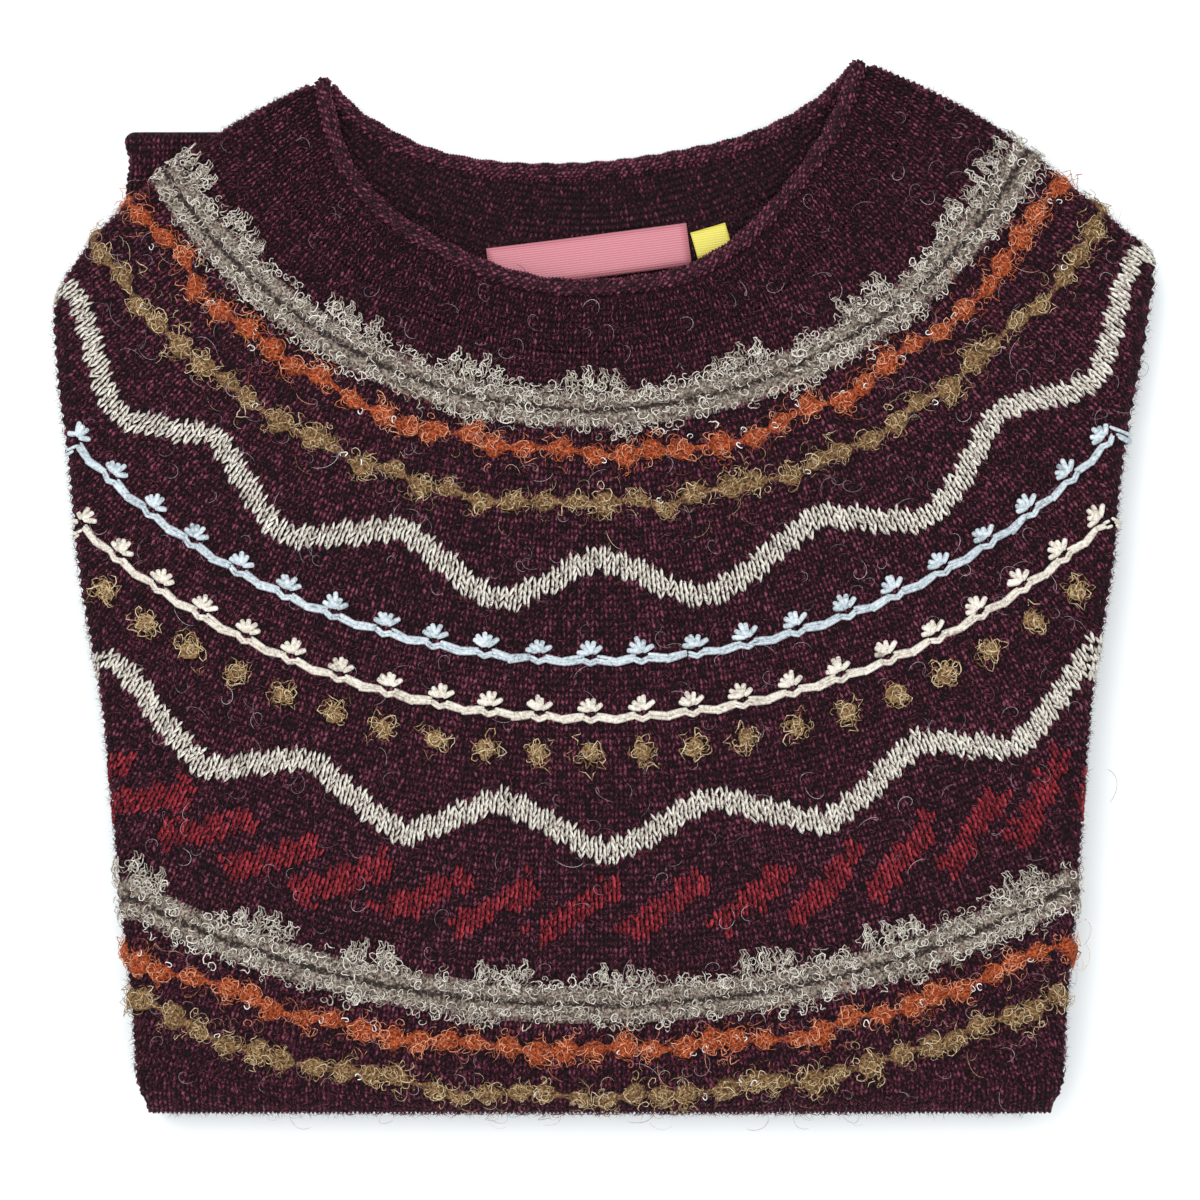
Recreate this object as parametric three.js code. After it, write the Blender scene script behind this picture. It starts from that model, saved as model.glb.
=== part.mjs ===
// Fair isle jumper with a round yoke, folded for a shelf and lying on its folded back.
// Millimetres, +Z up. X runs across the chest, Y runs from the bottom fold up to the neck,
// and z = 0 is the surface that the folded garment lies on.
import * as THREE from 'three';

const { clamp, degToRad, lerp, smoothstep } = THREE.MathUtils;

// Driving dimensions
const WALL = 2.4; // knitted cloth
const SEAM = 0.3; // between pieces that are sewn or knitted together
const NECK_SEAM = 0.8; // as measured between the straight edges of the front and its finer band
const YOKE = { x: -5.5, y: 249 }; // centre of the yoke's rings, above the neck
const FOLD_Y = -195; // outside of the bottom fold
const FOLD_REACH = 12; // how far the bottom fold rounds over, seen from above
const FOLD_MIDDLE = 13.2; // height of the bottom fold's outermost line
const FOLD_INNER = FOLD_Y + FOLD_REACH;
const HEM_Y = 17; // the hem, turned up underneath
const HEM_RIB = 50;
const TUCK = 150; // degrees that a side fold curls round before it is tucked in

// Silhouette of the sides and shoulders, about the yoke's centre: at each radius the
// angles of the left and right edge in degrees, and the radius of the side fold there.
const SIDE = [
  { radius: 113, left: 58.2, right: 61.4, roll: 3.2 },
  { radius: 147, left: 59.2, right: 62.4, roll: 3.6 },
  { radius: 174, left: 58.9, right: 61.9, roll: 4.0 },
  { radius: 205, left: 57.6, right: 60.3, roll: 4.4 },
  { radius: 229, left: 55.8, right: 59.2, roll: 4.6 },
  { radius: 246, left: 53.6, right: 58.0, roll: 4.6 },
  { radius: 256, left: 50.5, right: 53.6, roll: 4.6 },
  { radius: 278, left: 43.9, right: 45.3, roll: 4.6 },
  { radius: 312, left: 36.9, right: 37.9, roll: 4.6 },
  { radius: 340, left: 32.0, right: 33.0, roll: 4.6 },
  { radius: 369, left: 28.5, right: 29.5, roll: 4.6 },
  { radius: 408, left: 24.9, right: 25.9, roll: 4.6 },
  { radius: 440, left: 22.4, right: 23.4, roll: 4.6 },
  { radius: 473, left: 20.3, right: 21.3, roll: 4.6 },
];

// Neck line: radius of the rolled edge's middle in front and at the back, by angle.
const NECK = [
  { angle: -57.5, front: 118, back: 117 },
  { angle: -50, front: 125, back: 115.5 },
  { angle: -44, front: 130.8, back: 112.5 },
  { angle: -36, front: 134.6, back: 109 },
  { angle: -22, front: 137, back: 101.5 },
  { angle: -8, front: 139.5, back: 96.2 },
  { angle: 6, front: 139.2, back: 94.5 },
  { angle: 16, front: 138.5, back: 95.3 },
  { angle: 24, front: 134.8, back: 97.5 },
  { angle: 32, front: 129.5, back: 101.2 },
  { angle: 42, front: 124, back: 106.4 },
  { angle: 53, front: 118.3, back: 112 },
  { angle: 60.5, front: 114.5, back: 114.5 },
];

// Height of the folded stack along the middle, from the bottom fold to the neck tips.
const STACK = [
  { y: -195, height: 27 },
  { y: -90, height: 27.6 },
  { y: 0, height: 26.8 },
  { y: 45, height: 25 },
  { y: 85, height: 22.8 },
  { y: 115, height: 21 },
  { y: 157, height: 18.6 },
  { y: 195, height: 16.2 },
];
const SIDE_FALL = { width: 200, drop: 1.6 }; // the stack is thinner towards its sides
const NECK_DIP = { x: -5, width: 75, from: 60, to: 130, drop: 4.8 }; // no sleeves under it

// Soft folds in the top layer: where, which way, how long and wide, and how high.
const FOLDS = [
  { x: -118, y: 62, turn: 62, length: 62, width: 17, lift: 0.9 },
  { x: 128, y: 84, turn: -52, length: 58, width: 16, lift: 0.9 },
  { x: -60, y: 60, turn: 8, length: 70, width: 24, lift: -0.7 },
  { x: 62, y: 30, turn: -14, length: 80, width: 26, lift: 0.7 },
  { x: -96, y: -70, turn: 78, length: 90, width: 22, lift: -0.8 },
  { x: 104, y: -92, turn: -80, length: 84, width: 24, lift: -0.7 },
  { x: 8, y: -110, turn: 4, length: 96, width: 26, lift: 0.7 },
];

// Neck: a ribbed band with a rolled edge, in front and at the back
const ROLL = { radius: 2.8, frontDepth: 1.2, backDepth: 7.1, steps: 32, sides: 8 };
const FRONT_BAND = { from: 3.7, to: 23.7, ribs: 41 };
const BACK_DEPTH = 6; // how far the inside of the back lies below the front
const BACK_BAND = { left: -50, right: 52, from: 3.7, height: 24, ribs: 28 };
const BACK = { left: -38, right: 38, tuckedUnder: 14 };
const RIB_HEIGHT = 0.7;

// Raised bands of looped yarn: the middle radius, half the width and the height
const BANDS = [
  { name: 'grey_band_upper', radius: 185, half: 9, height: 1.6, color: 0xa89e92 },
  { name: 'orange_band_upper', radius: 201, half: 4, height: 1.3, color: 0xcf6230 },
  { name: 'gold_band_upper', radius: 220, half: 4, height: 1.3, color: 0x9c7f49 },
  { name: 'grey_band_lower', radius: 403, half: 9, height: 1.6, color: 0xa89e92 },
  { name: 'orange_band_lower', radius: 420, half: 4, height: 1.3, color: 0xcf6230 },
  { name: 'gold_band_lower', radius: 436, half: 4, height: 1.3, color: 0x9c7f49 },
];
const DOTS = { radius: 311.5, spacing: 19.2, width: 10.4, height: 1.8, lift: 0.45, margin: 9 };

// The sleeves are folded flat behind the shoulders, and only a corner of the left one shows.
const SLEEVE = { thickness: 4.8, wall: 2.1, inner: 105, bottom: 21 };
const LEFT_SLEEVE = { side: -1, outer: 176.2, top: 167 };
const RIGHT_SLEEVE = { side: 1, outer: 176.2, top: 136 };

// Labels on the inside of the back: centre, size and turn in degrees
const LABEL = { x: -6, y: 121.8, width: 75, height: 16, turn: 7.4, thickness: 0.8 };
const SIZE_TAB = { x: 39.6, y: 127.6, width: 13.5, height: 10.5, turn: 16, thickness: 0.8 };
const LABEL_DEPTH = 5.15;

// The hidden layers share one rounded core. Between the folds of the upper and the lower
// half, the edges of the folded sleeves show at its sides.
const CORE = { depth: 3.2, neckDepth: 9, floor: 3, overSleeve: 5.5, edges: 2, edgeInset: 1.7 };

const COLORS = {
  wine: 0x3d1a2b,
  wineRib: 0x431d30,
  wineDark: 0x31131f,
  pink: 0xd5758a,
  yellow: 0xe0cf5c,
  gold: 0xa8843f,
};

const garment = new THREE.Group();
garment.name = 'fair_isle_jumper';

function addPiece(name, geometry, color, roughness = 0.95) {
  const material = new THREE.MeshStandardMaterial({ color, roughness, metalness: 0 });
  const mesh = new THREE.Mesh(geometry, material);
  mesh.name = name;
  garment.add(mesh);
  return mesh;
}

// A smooth curve through one column of a table.
function columnOf(table, key, value) {
  const places = table.map((row) => row[key]);
  const values = table.map((row) => row[value]);
  const curve = new THREE.CubicInterpolant(places, values, 1, [0]);
  return (place) => curve.evaluate(place)[0];
}

const sideAngles = { '-1': columnOf(SIDE, 'radius', 'left'), 1: columnOf(SIDE, 'radius', 'right') };
const sideFold = columnOf(SIDE, 'radius', 'roll');
const neckFrontAt = columnOf(NECK, 'angle', 'front');
const neckBackAt = columnOf(NECK, 'angle', 'back');
const stackHeight = columnOf(STACK, 'y', 'height');
const neckFront = (angle) => neckFrontAt(THREE.MathUtils.radToDeg(angle));
const neckBack = (angle) => neckBackAt(THREE.MathUtils.radToDeg(angle));

// Height of the garment's top layer over a point of the plan.
function topHeight(x, y) {
  const nearNeck = smoothstep(y, NECK_DIP.from, NECK_DIP.to);
  const dip = NECK_DIP.drop * nearNeck * Math.exp(-(((x - NECK_DIP.x) / NECK_DIP.width) ** 2));
  let height = stackHeight(y) - SIDE_FALL.drop * Math.abs(x / SIDE_FALL.width) ** 2.5 - dip;
  for (const fold of FOLDS) {
    const turn = degToRad(fold.turn);
    const along = (x - fold.x) * Math.cos(turn) + (y - fold.y) * Math.sin(turn);
    const across = (y - fold.y) * Math.cos(turn) - (x - fold.x) * Math.sin(turn);
    height += fold.lift * Math.exp(-((along / fold.length) ** 2) - (across / fold.width) ** 2);
  }
  return height;
}

// Plan of the rings: an angle of 0 points from the yoke's centre straight to the hem.
function onRing(radius, angle) {
  return new THREE.Vector2(YOKE.x + radius * Math.sin(angle), YOKE.y - radius * Math.cos(angle));
}

function sidePoint(side, radius) {
  return onRing(radius, side * degToRad(sideAngles[side](radius)));
}

function sideNormal(side, radius) {
  const down = sidePoint(side, radius + 1).sub(sidePoint(side, radius - 1)).normalize();
  return new THREE.Vector2(-side * down.y, side * down.x);
}

// Rows run across the garment. Each is a radius for every angle: a ring, a line that keeps
// its distance from the neck, a straight line, or something between two of these.
const ring = (radius) => () => radius;
const belowNeck = (distance) => (angle) => neckFront(angle) + distance;
const straight = (y) => (angle) => (YOKE.y - y) / Math.cos(angle);
const between = (upper, lower, share) => (angle) => lerp(upper(angle), lower(angle), share);

// A row's end on one side: where the side fold starts, and which way it curls.
function rowEnd(side, radiusAt, follow) {
  let radius = radiusAt(side * 0.5);
  for (let pass = 0; pass < 40; pass += 1) {
    radius = (radius + radiusAt(side * degToRad(sideAngles[side](radius)))) / 2;
  }
  const roll = sideFold(radius);
  const outward = sideNormal(side, radius);
  const start = sidePoint(side, radius).addScaledVector(outward, -roll);
  const angle = Math.atan2(start.x - YOKE.x, YOKE.y - start.y);
  const distance = Math.hypot(start.x - YOKE.x, start.y - YOKE.y);
  const shift = follow ? 0 : distance - radiusAt(angle);
  return { roll, outward, angle, shift };
}

function makeRow(radiusAt, follow = false) {
  const left = rowEnd(-1, radiusAt, follow);
  const right = rowEnd(1, radiusAt, follow);
  return { radiusAt, left, right };
}

// A place along a row: a share of the flat part, and how far it is round a side fold.
function makeColumns(cells, foldSteps) {
  const columns = [];
  for (let step = foldSteps; step > 0; step -= 1) {
    columns.push({ share: 0, side: 'left', turn: step / foldSteps });
  }
  for (let cell = 0; cell <= cells; cell += 1) {
    columns.push({ share: cell / cells, side: cell * 2 < cells ? 'left' : 'right', turn: 0 });
  }
  for (let step = 1; step <= foldSteps; step += 1) {
    columns.push({ share: 1, side: 'right', turn: step / foldSteps });
  }
  return columns;
}

function planPoint(row, share) {
  const angle = lerp(row.left.angle, row.right.angle, share);
  const shift = row.left.shift * (1 - share) ** 8 + row.right.shift * share ** 8;
  return onRing(row.radiusAt(angle) + shift, angle);
}

const pastFold = (y) => clamp((FOLD_INNER - y) / FOLD_REACH, 0, 1);

// A point of the front's cloth, at a depth below its outer face. The side folds and the
// bottom fold are round, and "under" is the part that the bottom fold turns underneath.
function cloth(row, column, depth, under = false) {
  const end = row[column.side];
  const plan = planPoint(row, column.share);
  const height = topHeight(plan.x, plan.y);
  const sinFold = pastFold(plan.y);
  const cosFold = Math.sqrt(1 - sinFold ** 2);
  const turn = column.turn * degToRad(lerp(TUCK, 90, sinFold));
  const sinSide = Math.sin(turn);
  const corner = sinSide * sinFold > 0 ? Math.max(sinSide, sinFold) / Math.hypot(sinSide, sinFold) : 1;
  const outwards = (end.roll - depth) * sinSide * corner;
  const downwards = sinFold > 0 ? (FOLD_REACH - depth) * sinFold * corner : 0;
  const y = sinFold > 0 ? FOLD_INNER - downwards : plan.y;
  const sideDrop = (end.roll - depth) * (1 - Math.cos(turn)) * cosFold;
  const foldHeight = under ? FOLD_MIDDLE : height - FOLD_MIDDLE;
  const drop = depth + sideDrop + (foldHeight - depth) * (1 - cosFold);
  return new THREE.Vector3(
    plan.x + end.outward.x * outwards,
    y + end.outward.y * outwards,
    under ? drop : height - drop,
  );
}

function signedVolume(points, faces) {
  let volume = 0;
  for (let at = 0; at < faces.length; at += 3) {
    const [a, b, c] = [points[faces[at]], points[faces[at + 1]], points[faces[at + 2]]];
    volume += a.dot(new THREE.Vector3().crossVectors(b, c));
  }
  return volume;
}

function solid(points, faces) {
  const outward = signedVolume(points, faces) > 0 ? faces : [...faces].reverse();
  const geometry = new THREE.BufferGeometry();
  geometry.setAttribute('position', new THREE.Float32BufferAttribute(points.flatMap((p) => [...p]), 3));
  geometry.setIndex(outward);
  geometry.computeVertexNormals();
  return geometry;
}

const quad = (a, b, c, d) => [a, b, c, a, c, d];

// A closed wall between two faces, each given as rows of points, with a rim all round.
function wallBetween(outer, inner) {
  const rows = outer.length;
  const width = outer[0].length;
  const half = rows * width;
  const faces = [];
  for (let row = 0; row < rows - 1; row += 1) {
    for (let at = row * width; at < row * width + width - 1; at += 1) {
      faces.push(...quad(at, at + width, at + width + 1, at + 1));
      faces.push(...quad(half + at, half + at + 1, half + at + width + 1, half + at + width));
    }
  }
  for (let at = 0; at < width - 1; at += 1) {
    const last = half - width + at;
    faces.push(...quad(at, at + 1, half + at + 1, half + at));
    faces.push(...quad(last + 1, last, half + last, half + last + 1));
  }
  for (let row = 0; row < rows - 1; row += 1) {
    const first = row * width;
    const end = first + width - 1;
    faces.push(...quad(first + width, first, half + first, half + first + width));
    faces.push(...quad(end, end + width, half + end + width, half + end));
  }
  return solid([...outer.flat(), ...inner.flat()], faces);
}

// A closed body through equal loops of points. "flat" gives a loop's points in its own plane,
// and each cap is closed by polygons of the loop's points, by default a single one.
function loft(loops, flat, polygons = [loops[0].map((_, at) => at)]) {
  const width = loops[0].length;
  const faces = [];
  for (let loop = 0; loop < loops.length - 1; loop += 1) {
    for (let at = 0; at < width; at += 1) {
      const next = (at + 1) % width;
      const start = loop * width;
      faces.push(...quad(start + at, start + next, start + width + next, start + width + at));
    }
  }
  for (const [loop, closes] of [[0, false], [loops.length - 1, true]]) {
    for (const polygon of polygons) {
      const outline = polygon.map((at) => flat(loops[loop][at], at));
      const area = THREE.ShapeUtils.area(outline);
      for (const corners of THREE.ShapeUtils.triangulateShape(outline, [])) {
        const same = THREE.ShapeUtils.area(corners.map((at) => outline[at])) * area > 0;
        const [a, b, c] = corners.map((at) => loop * width + polygon[at]);
        faces.push(...(same === closes ? [a, b, c] : [b, a, c]));
      }
    }
  }
  return solid(loops.flat(), faces);
}

// Rows of the front, from the neck band to the bottom fold and on to the hem underneath.
const COLUMNS = makeColumns(22, 5);
const firstRing = ring(BANDS[0].radius - BANDS[0].half);
const bandRings = (band) => [band.radius - band.half, band.radius + band.half];
const plainRings = [236, 247, 258, 278, 306, 336, 366];
const lastRing = ring(BANDS[5].radius + BANDS[5].half);
const foldShares = [0.46, 0.79, 0.955];

const topRows = [
  makeRow(belowNeck(FRONT_BAND.to + NECK_SEAM)),
  ...BANDS.slice(0, 3).flatMap(bandRings).map((radius) => makeRow(ring(radius))),
  ...plainRings.map((radius) => makeRow(ring(radius))),
  ...BANDS.slice(3).flatMap(bandRings).map((radius) => makeRow(ring(radius))),
  ...foldShares.map((share) => makeRow(between(lastRing, straight(FOLD_Y), share), true)),
  makeRow(straight(FOLD_Y), true),
];
const underFold = [70, 45, 20, 0].map((turn) => FOLD_INNER - FOLD_REACH * Math.sin(degToRad(turn)));
const underRows = [...underFold, -110, HEM_Y - HEM_RIB - SEAM].map((y) => makeRow(straight(y), true));
const hemRows = [HEM_Y - HEM_RIB, HEM_Y].map((y) => makeRow(straight(y), true));

function clothFace(rows, columns, depth, under) {
  return rows.map((row) => columns.map((column) => cloth(row, column, depth, under)));
}

function makeFront() {
  const face = (depth) => [
    ...clothFace(topRows, COLUMNS, depth, false),
    ...clothFace(underRows, COLUMNS, depth, true),
  ];
  addPiece('front', wallBetween(face(0), face(WALL)), COLORS.wine);
  const hem = (depth) => clothFace(hemRows, COLUMNS, depth, true);
  addPiece('hem_rib', wallBetween(hem(0), hem(WALL)), COLORS.wineRib);
}

// Raised bands lie on the front and follow it round the side folds.
function makeBands() {
  const columns = COLUMNS.filter((column) => column.turn < 0.9);
  for (const band of BANDS) {
    const rows = bandRings(band).map((radius) => makeRow(ring(radius)));
    const face = (depth) => clothFace(rows, columns, depth, false);
    addPiece(band.name, wallBetween(face(-SEAM - band.height), face(-SEAM)), band.color);
  }
}

// One dot of looped yarn: a low dome, standing on the cloth.
function dotGeometry() {
  const radius = DOTS.width / 2;
  const profile = [
    new THREE.Vector2(0, 0),
    new THREE.Vector2(radius, 0),
    new THREE.Vector2(radius * 0.92, DOTS.height * 0.6),
    new THREE.Vector2(radius * 0.55, DOTS.height * 0.93),
    new THREE.Vector2(0, DOTS.height),
  ];
  return new THREE.LatheGeometry(profile, 8).rotateX(Math.PI / 2);
}

function makeDots() {
  const row = makeRow(ring(DOTS.radius));
  const step = DOTS.spacing / DOTS.radius;
  const margin = DOTS.margin / DOTS.radius;
  const first = Math.ceil((row.left.angle + margin) / step);
  const last = Math.floor((row.right.angle - margin) / step);
  for (let at = first; at <= last; at += 1) {
    const place = onRing(DOTS.radius, at * step);
    const slopeX = topHeight(place.x + 4, place.y) - topHeight(place.x - 4, place.y);
    const slopeY = topHeight(place.x, place.y + 4) - topHeight(place.x, place.y - 4);
    const up = new THREE.Vector3(-slopeX / 8, -slopeY / 8, 1).normalize();
    const name = `gold_dot_${String(at - first + 1).padStart(2, '0')}`;
    const dot = addPiece(name, dotGeometry(), COLORS.gold);
    dot.position.set(place.x, place.y, topHeight(place.x, place.y)).addScaledVector(up, DOTS.lift);
    dot.quaternion.setFromUnitVectors(new THREE.Vector3(0, 0, 1), up);
  }
}

// Ribs: every second column of the outer face stands up, and the inside stays plain.
function ribbedFaces(rows, columns, depth) {
  const outer = rows.map((row) => columns.map((column, at) => {
    const raised = column.turn === 0 && at % 2 === 1 ? RIB_HEIGHT : 0;
    return cloth(row, column, depth - raised);
  }));
  return wallBetween(outer, clothFace(rows, columns, depth + WALL, false));
}

function makeFrontBand() {
  const columns = makeColumns(FRONT_BAND.ribs * 2, 3);
  const rows = [FRONT_BAND.from, FRONT_BAND.to].map((distance) => makeRow(belowNeck(distance)));
  addPiece('neck_band_front', ribbedFaces(rows, columns, 0), COLORS.wineRib);
}

// The inside of the back shows in the neck: its band first, then the back itself.
const bandFoot = (angle) => {
  const hidden = neckFront(angle) + BACK.tuckedUnder;
  return Math.min(neckBack(angle) + BACK_BAND.height, hidden);
};

function insetFaces(rows, left, right, cells, ribs) {
  const face = (depth, raise) => rows.map((radiusAt) => Array.from({ length: cells + 1 }, (_, at) => {
    const angle = degToRad(lerp(left, right, at / cells));
    const place = onRing(radiusAt(angle), angle);
    const raised = raise && at % 2 === 1 ? RIB_HEIGHT : 0;
    return new THREE.Vector3(place.x, place.y, topHeight(place.x, place.y) - depth + raised);
  }));
  return wallBetween(face(BACK_DEPTH, ribs), face(BACK_DEPTH + WALL, false));
}

function makeBack() {
  const bandRows = [(angle) => neckBack(angle) + BACK_BAND.from, bandFoot];
  const { left, right, ribs } = BACK_BAND;
  addPiece('neck_band_back', insetFaces(bandRows, left, right, ribs * 2, true), COLORS.wineDark);
  const hiddenEdge = (angle) => neckFront(angle) + BACK.tuckedUnder;
  const top = (angle) => bandFoot(angle) + SEAM;
  const rows = [top, (angle) => Math.max(hiddenEdge(angle), top(angle) + 8)];
  addPiece('back', insetFaces(rows, BACK.left, BACK.right, 16, false), COLORS.wineDark);
}

// The rolled edge: a round roll along the neck line, with soft ends at the neck's tips.
function rollAlong(radiusAt, fromAngle, toAngle, depth) {
  const path = [];
  for (let step = 0; step <= ROLL.steps; step += 1) {
    const angle = degToRad(lerp(fromAngle, toAngle, step / ROLL.steps));
    const place = onRing(radiusAt(angle), angle);
    path.push(new THREE.Vector3(place.x, place.y, topHeight(place.x, place.y) - depth));
  }
  const up = new THREE.Vector3(0, 0, 1);
  const loops = path.map((point, step) => {
    const ahead = path[Math.min(step + 1, ROLL.steps)].clone();
    const tangent = ahead.sub(path[Math.max(step - 1, 0)]).normalize();
    const sideways = new THREE.Vector3().crossVectors(tangent, up).normalize();
    const rise = new THREE.Vector3().crossVectors(sideways, tangent);
    const fromEnd = Math.min(step, ROLL.steps - step);
    const radius = ROLL.radius * (fromEnd === 0 ? 0.7 : 1);
    return Array.from({ length: ROLL.sides }, (_, side) => {
      const turn = (side / ROLL.sides) * Math.PI * 2;
      return point.clone()
        .addScaledVector(sideways, radius * Math.cos(turn))
        .addScaledVector(rise, radius * Math.sin(turn));
    });
  });
  const flat = (point, at) => {
    const turn = (at / ROLL.sides) * Math.PI * 2;
    return new THREE.Vector2(Math.cos(turn), Math.sin(turn));
  };
  return loft(loops, flat);
}

function makeRolls() {
  const ends = [NECK[0].angle, NECK[NECK.length - 1].angle];
  addPiece('neck_roll_front', rollAlong(neckFront, ...ends, ROLL.frontDepth), COLORS.wineRib);
  addPiece('neck_roll_back', rollAlong(neckBack, ...ends, ROLL.backDepth), COLORS.wineRib);
}

function makeLabel(name, label, color) {
  const turn = degToRad(label.turn);
  const face = (depth) => [0.5, 0, -0.5].map((up) => Array.from({ length: 7 }, (_, at) => {
    const along = (at / 6 - 0.5) * label.width;
    const x = label.x + along * Math.cos(turn) - up * label.height * Math.sin(turn);
    const y = label.y + along * Math.sin(turn) + up * label.height * Math.cos(turn);
    return new THREE.Vector3(x, y, topHeight(x, y) - depth);
  }));
  addPiece(name, wallBetween(face(LABEL_DEPTH - label.thickness), face(LABEL_DEPTH)), color, 0.7);
}

// A sleeve, folded flat: the cloth goes round its outer edge and comes back underneath.
function makeSleeve(name, sleeve) {
  const roll = SLEEVE.thickness / 2;
  const across = [0, 0.25, 0.5, 0.75, 1];
  const turns = [30, 60, 90, 120, 150];
  const ys = [sleeve.top, sleeve.top - 3, 120, 85, 50, SLEEVE.bottom];
  const face = (depth) => ys.map((y) => {
    const pinch = y === sleeve.top ? 0.7 : 1;
    const wave = 1.1 * Math.sin((sleeve.top - y) / 6) * smoothstep(y, 120, 150);
    const center = sleeve.outer - roll - wave;
    const at = (x, z) => new THREE.Vector3(sleeve.side * x, y, z * pinch);
    const xs = across.map((share) => lerp(SLEEVE.inner, center, share));
    return [
      ...xs.map((x) => at(x, SLEEVE.thickness - depth)),
      ...turns.map((turn) => {
        const angle = degToRad(turn);
        return at(center + (roll - depth) * Math.sin(angle), roll + (roll - depth) * Math.cos(angle));
      }),
      ...xs.reverse().map((x) => at(x, depth)),
    ];
  });
  addPiece(name, wallBetween(face(0), face(SLEEVE.wall)), COLORS.wine);
}

// Underside of the core: over the turned-up hem, over the sleeves, or down on the surface.
function coreFloor(x, y) {
  const overHem = CORE.floor * (1 - smoothstep(y, 34, 52));
  const overSleeve = CORE.overSleeve * smoothstep(Math.abs(x), 56, 80) * smoothstep(y, -48, -22);
  return Math.max(overHem, overSleeve);
}

function coreDepth(plan) {
  const angle = Math.atan2(plan.x - YOKE.x, YOKE.y - plan.y);
  const pastNeck = Math.hypot(plan.x - YOKE.x, plan.y - YOKE.y) - neckFront(angle);
  return lerp(CORE.neckDepth, CORE.depth, smoothstep(pastNeck, BACK.tuckedUnder + 5, 36));
}

// One side of the core, from the top layer's side fold down to the core's underside.
function coreSide(row, side) {
  const end = row[side];
  const plan = planPoint(row, side === 'left' ? 0 : 1);
  const sinFold = pastFold(plan.y);
  const closing = 1 - Math.sqrt(1 - sinFold ** 2);
  const floor = coreFloor(plan.x, plan.y);
  const inLowerHalf = 1 - smoothstep(plan.y, 17, 45);
  const top = topHeight(plan.x, plan.y);
  const belowFold = Math.max(top - end.roll * 2 - 0.6, floor + 1.4);
  const high = Math.min(belowFold, top - coreDepth(plan) - 0.2);
  const low = Math.max(lerp(floor, high, 0.3), (end.roll * 2 + 0.6) * inLowerHalf);
  const bulge = (end.roll - CORE.edgeInset) * Math.max(0.2, 1 - sinFold * 3);
  const points = [];
  const place = (outwards, z) => {
    const y = sinFold > 0 ? FOLD_INNER - (FOLD_REACH - CORE.depth) * sinFold : plan.y;
    const height = lerp(z, FOLD_MIDDLE, closing);
    const { x: outX, y: outY } = end.outward;
    points.push(new THREE.Vector3(plan.x + outX * outwards, y + outY * outwards, height));
  };
  const step = (high - low) / CORE.edges;
  for (let edge = 0; edge < CORE.edges; edge += 1) {
    const upper = high - step * edge;
    place(bulge * 0.25, upper - step * 0.06);
    place(bulge * (edge === 0 ? 0.85 : 1), upper - step * 0.5);
    place(bulge * 0.25, upper - step * 0.94);
  }
  place(bulge * 0.15, lerp(low, floor, 0.5));
  return points;
}

// The core's ends follow the curved rows, so each end is closed in narrow strips.
function coreCaps(count) {
  const sideCount = CORE.edges * 3 + 1;
  const lowerEnd = count * 2 + sideCount - 1;
  const strips = Array.from({ length: count - 1 }, (_, at) => [at, at + 1, lowerEnd - at - 1, lowerEnd - at]);
  const run = (from, to) => Array.from({ length: to - from + 1 }, (_, at) => from + at);
  const rightSide = run(count - 1, count + sideCount);
  const leftSide = [...run(lowerEnd, lowerEnd + sideCount), 0];
  return [...strips, rightSide, leftSide];
}

function makeCore() {
  const shares = Array.from({ length: 12 }, (_, at) => at / 11);
  const firstRows = [
    makeRow((angle) => neckBack(angle) + 5.5),
    makeRow((angle) => lerp(neckBack(angle) + 5.5, neckFront(angle) + BACK.tuckedUnder + 4, 0.5)),
    makeRow(belowNeck(BACK.tuckedUnder + 4)),
  ];
  const rings = [182, 205, 228, 248, 277, 306, 336, 366, 395, 420, 440];
  const rows = [
    ...firstRows,
    ...rings.map((radius) => makeRow(ring(radius))),
    ...foldShares.slice(0, 2).map((share) => makeRow(between(lastRing, straight(FOLD_Y), share), true)),
  ];
  const loops = rows.map((row) => {
    const upper = [];
    const lower = [];
    for (const share of shares) {
      const plan = planPoint(row, share);
      const sinFold = pastFold(plan.y);
      const closing = 1 - Math.sqrt(1 - sinFold ** 2);
      const y = sinFold > 0 ? FOLD_INNER - (FOLD_REACH - CORE.depth) * sinFold : plan.y;
      const top = topHeight(plan.x, plan.y) - coreDepth(plan);
      upper.push(new THREE.Vector3(plan.x, y, lerp(top, FOLD_MIDDLE, closing)));
      lower.push(new THREE.Vector3(plan.x, y, lerp(coreFloor(plan.x, plan.y), FOLD_MIDDLE, closing)));
    }
    const right = coreSide(row, 'right');
    const left = coreSide(row, 'left').reverse();
    return [...upper, ...right, ...lower.reverse(), ...left];
  });
  const flat = (point) => new THREE.Vector2(point.x, point.z);
  addPiece('folded_layers', loft(loops, flat, coreCaps(shares.length)), COLORS.wineDark);
}

makeFront();
makeFrontBand();
makeBack();
makeRolls();
makeBands();
makeDots();
makeSleeve('left_sleeve', LEFT_SLEEVE);
makeSleeve('right_sleeve', RIGHT_SLEEVE);
makeLabel('neck_label', LABEL, COLORS.pink);
makeLabel('size_tab', SIZE_TAB, COLORS.yellow);
makeCore();

export default garment;
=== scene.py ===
# %% [markdown]
# A jumper with a round yoke, folded for a shelf and lying on its folded back.
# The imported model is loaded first, as a fixed frame. Everything that this lesson makes is laid
# over it in the same millimetres, so nothing has to be fitted afterwards.

# %% Load the frame
import math

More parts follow.
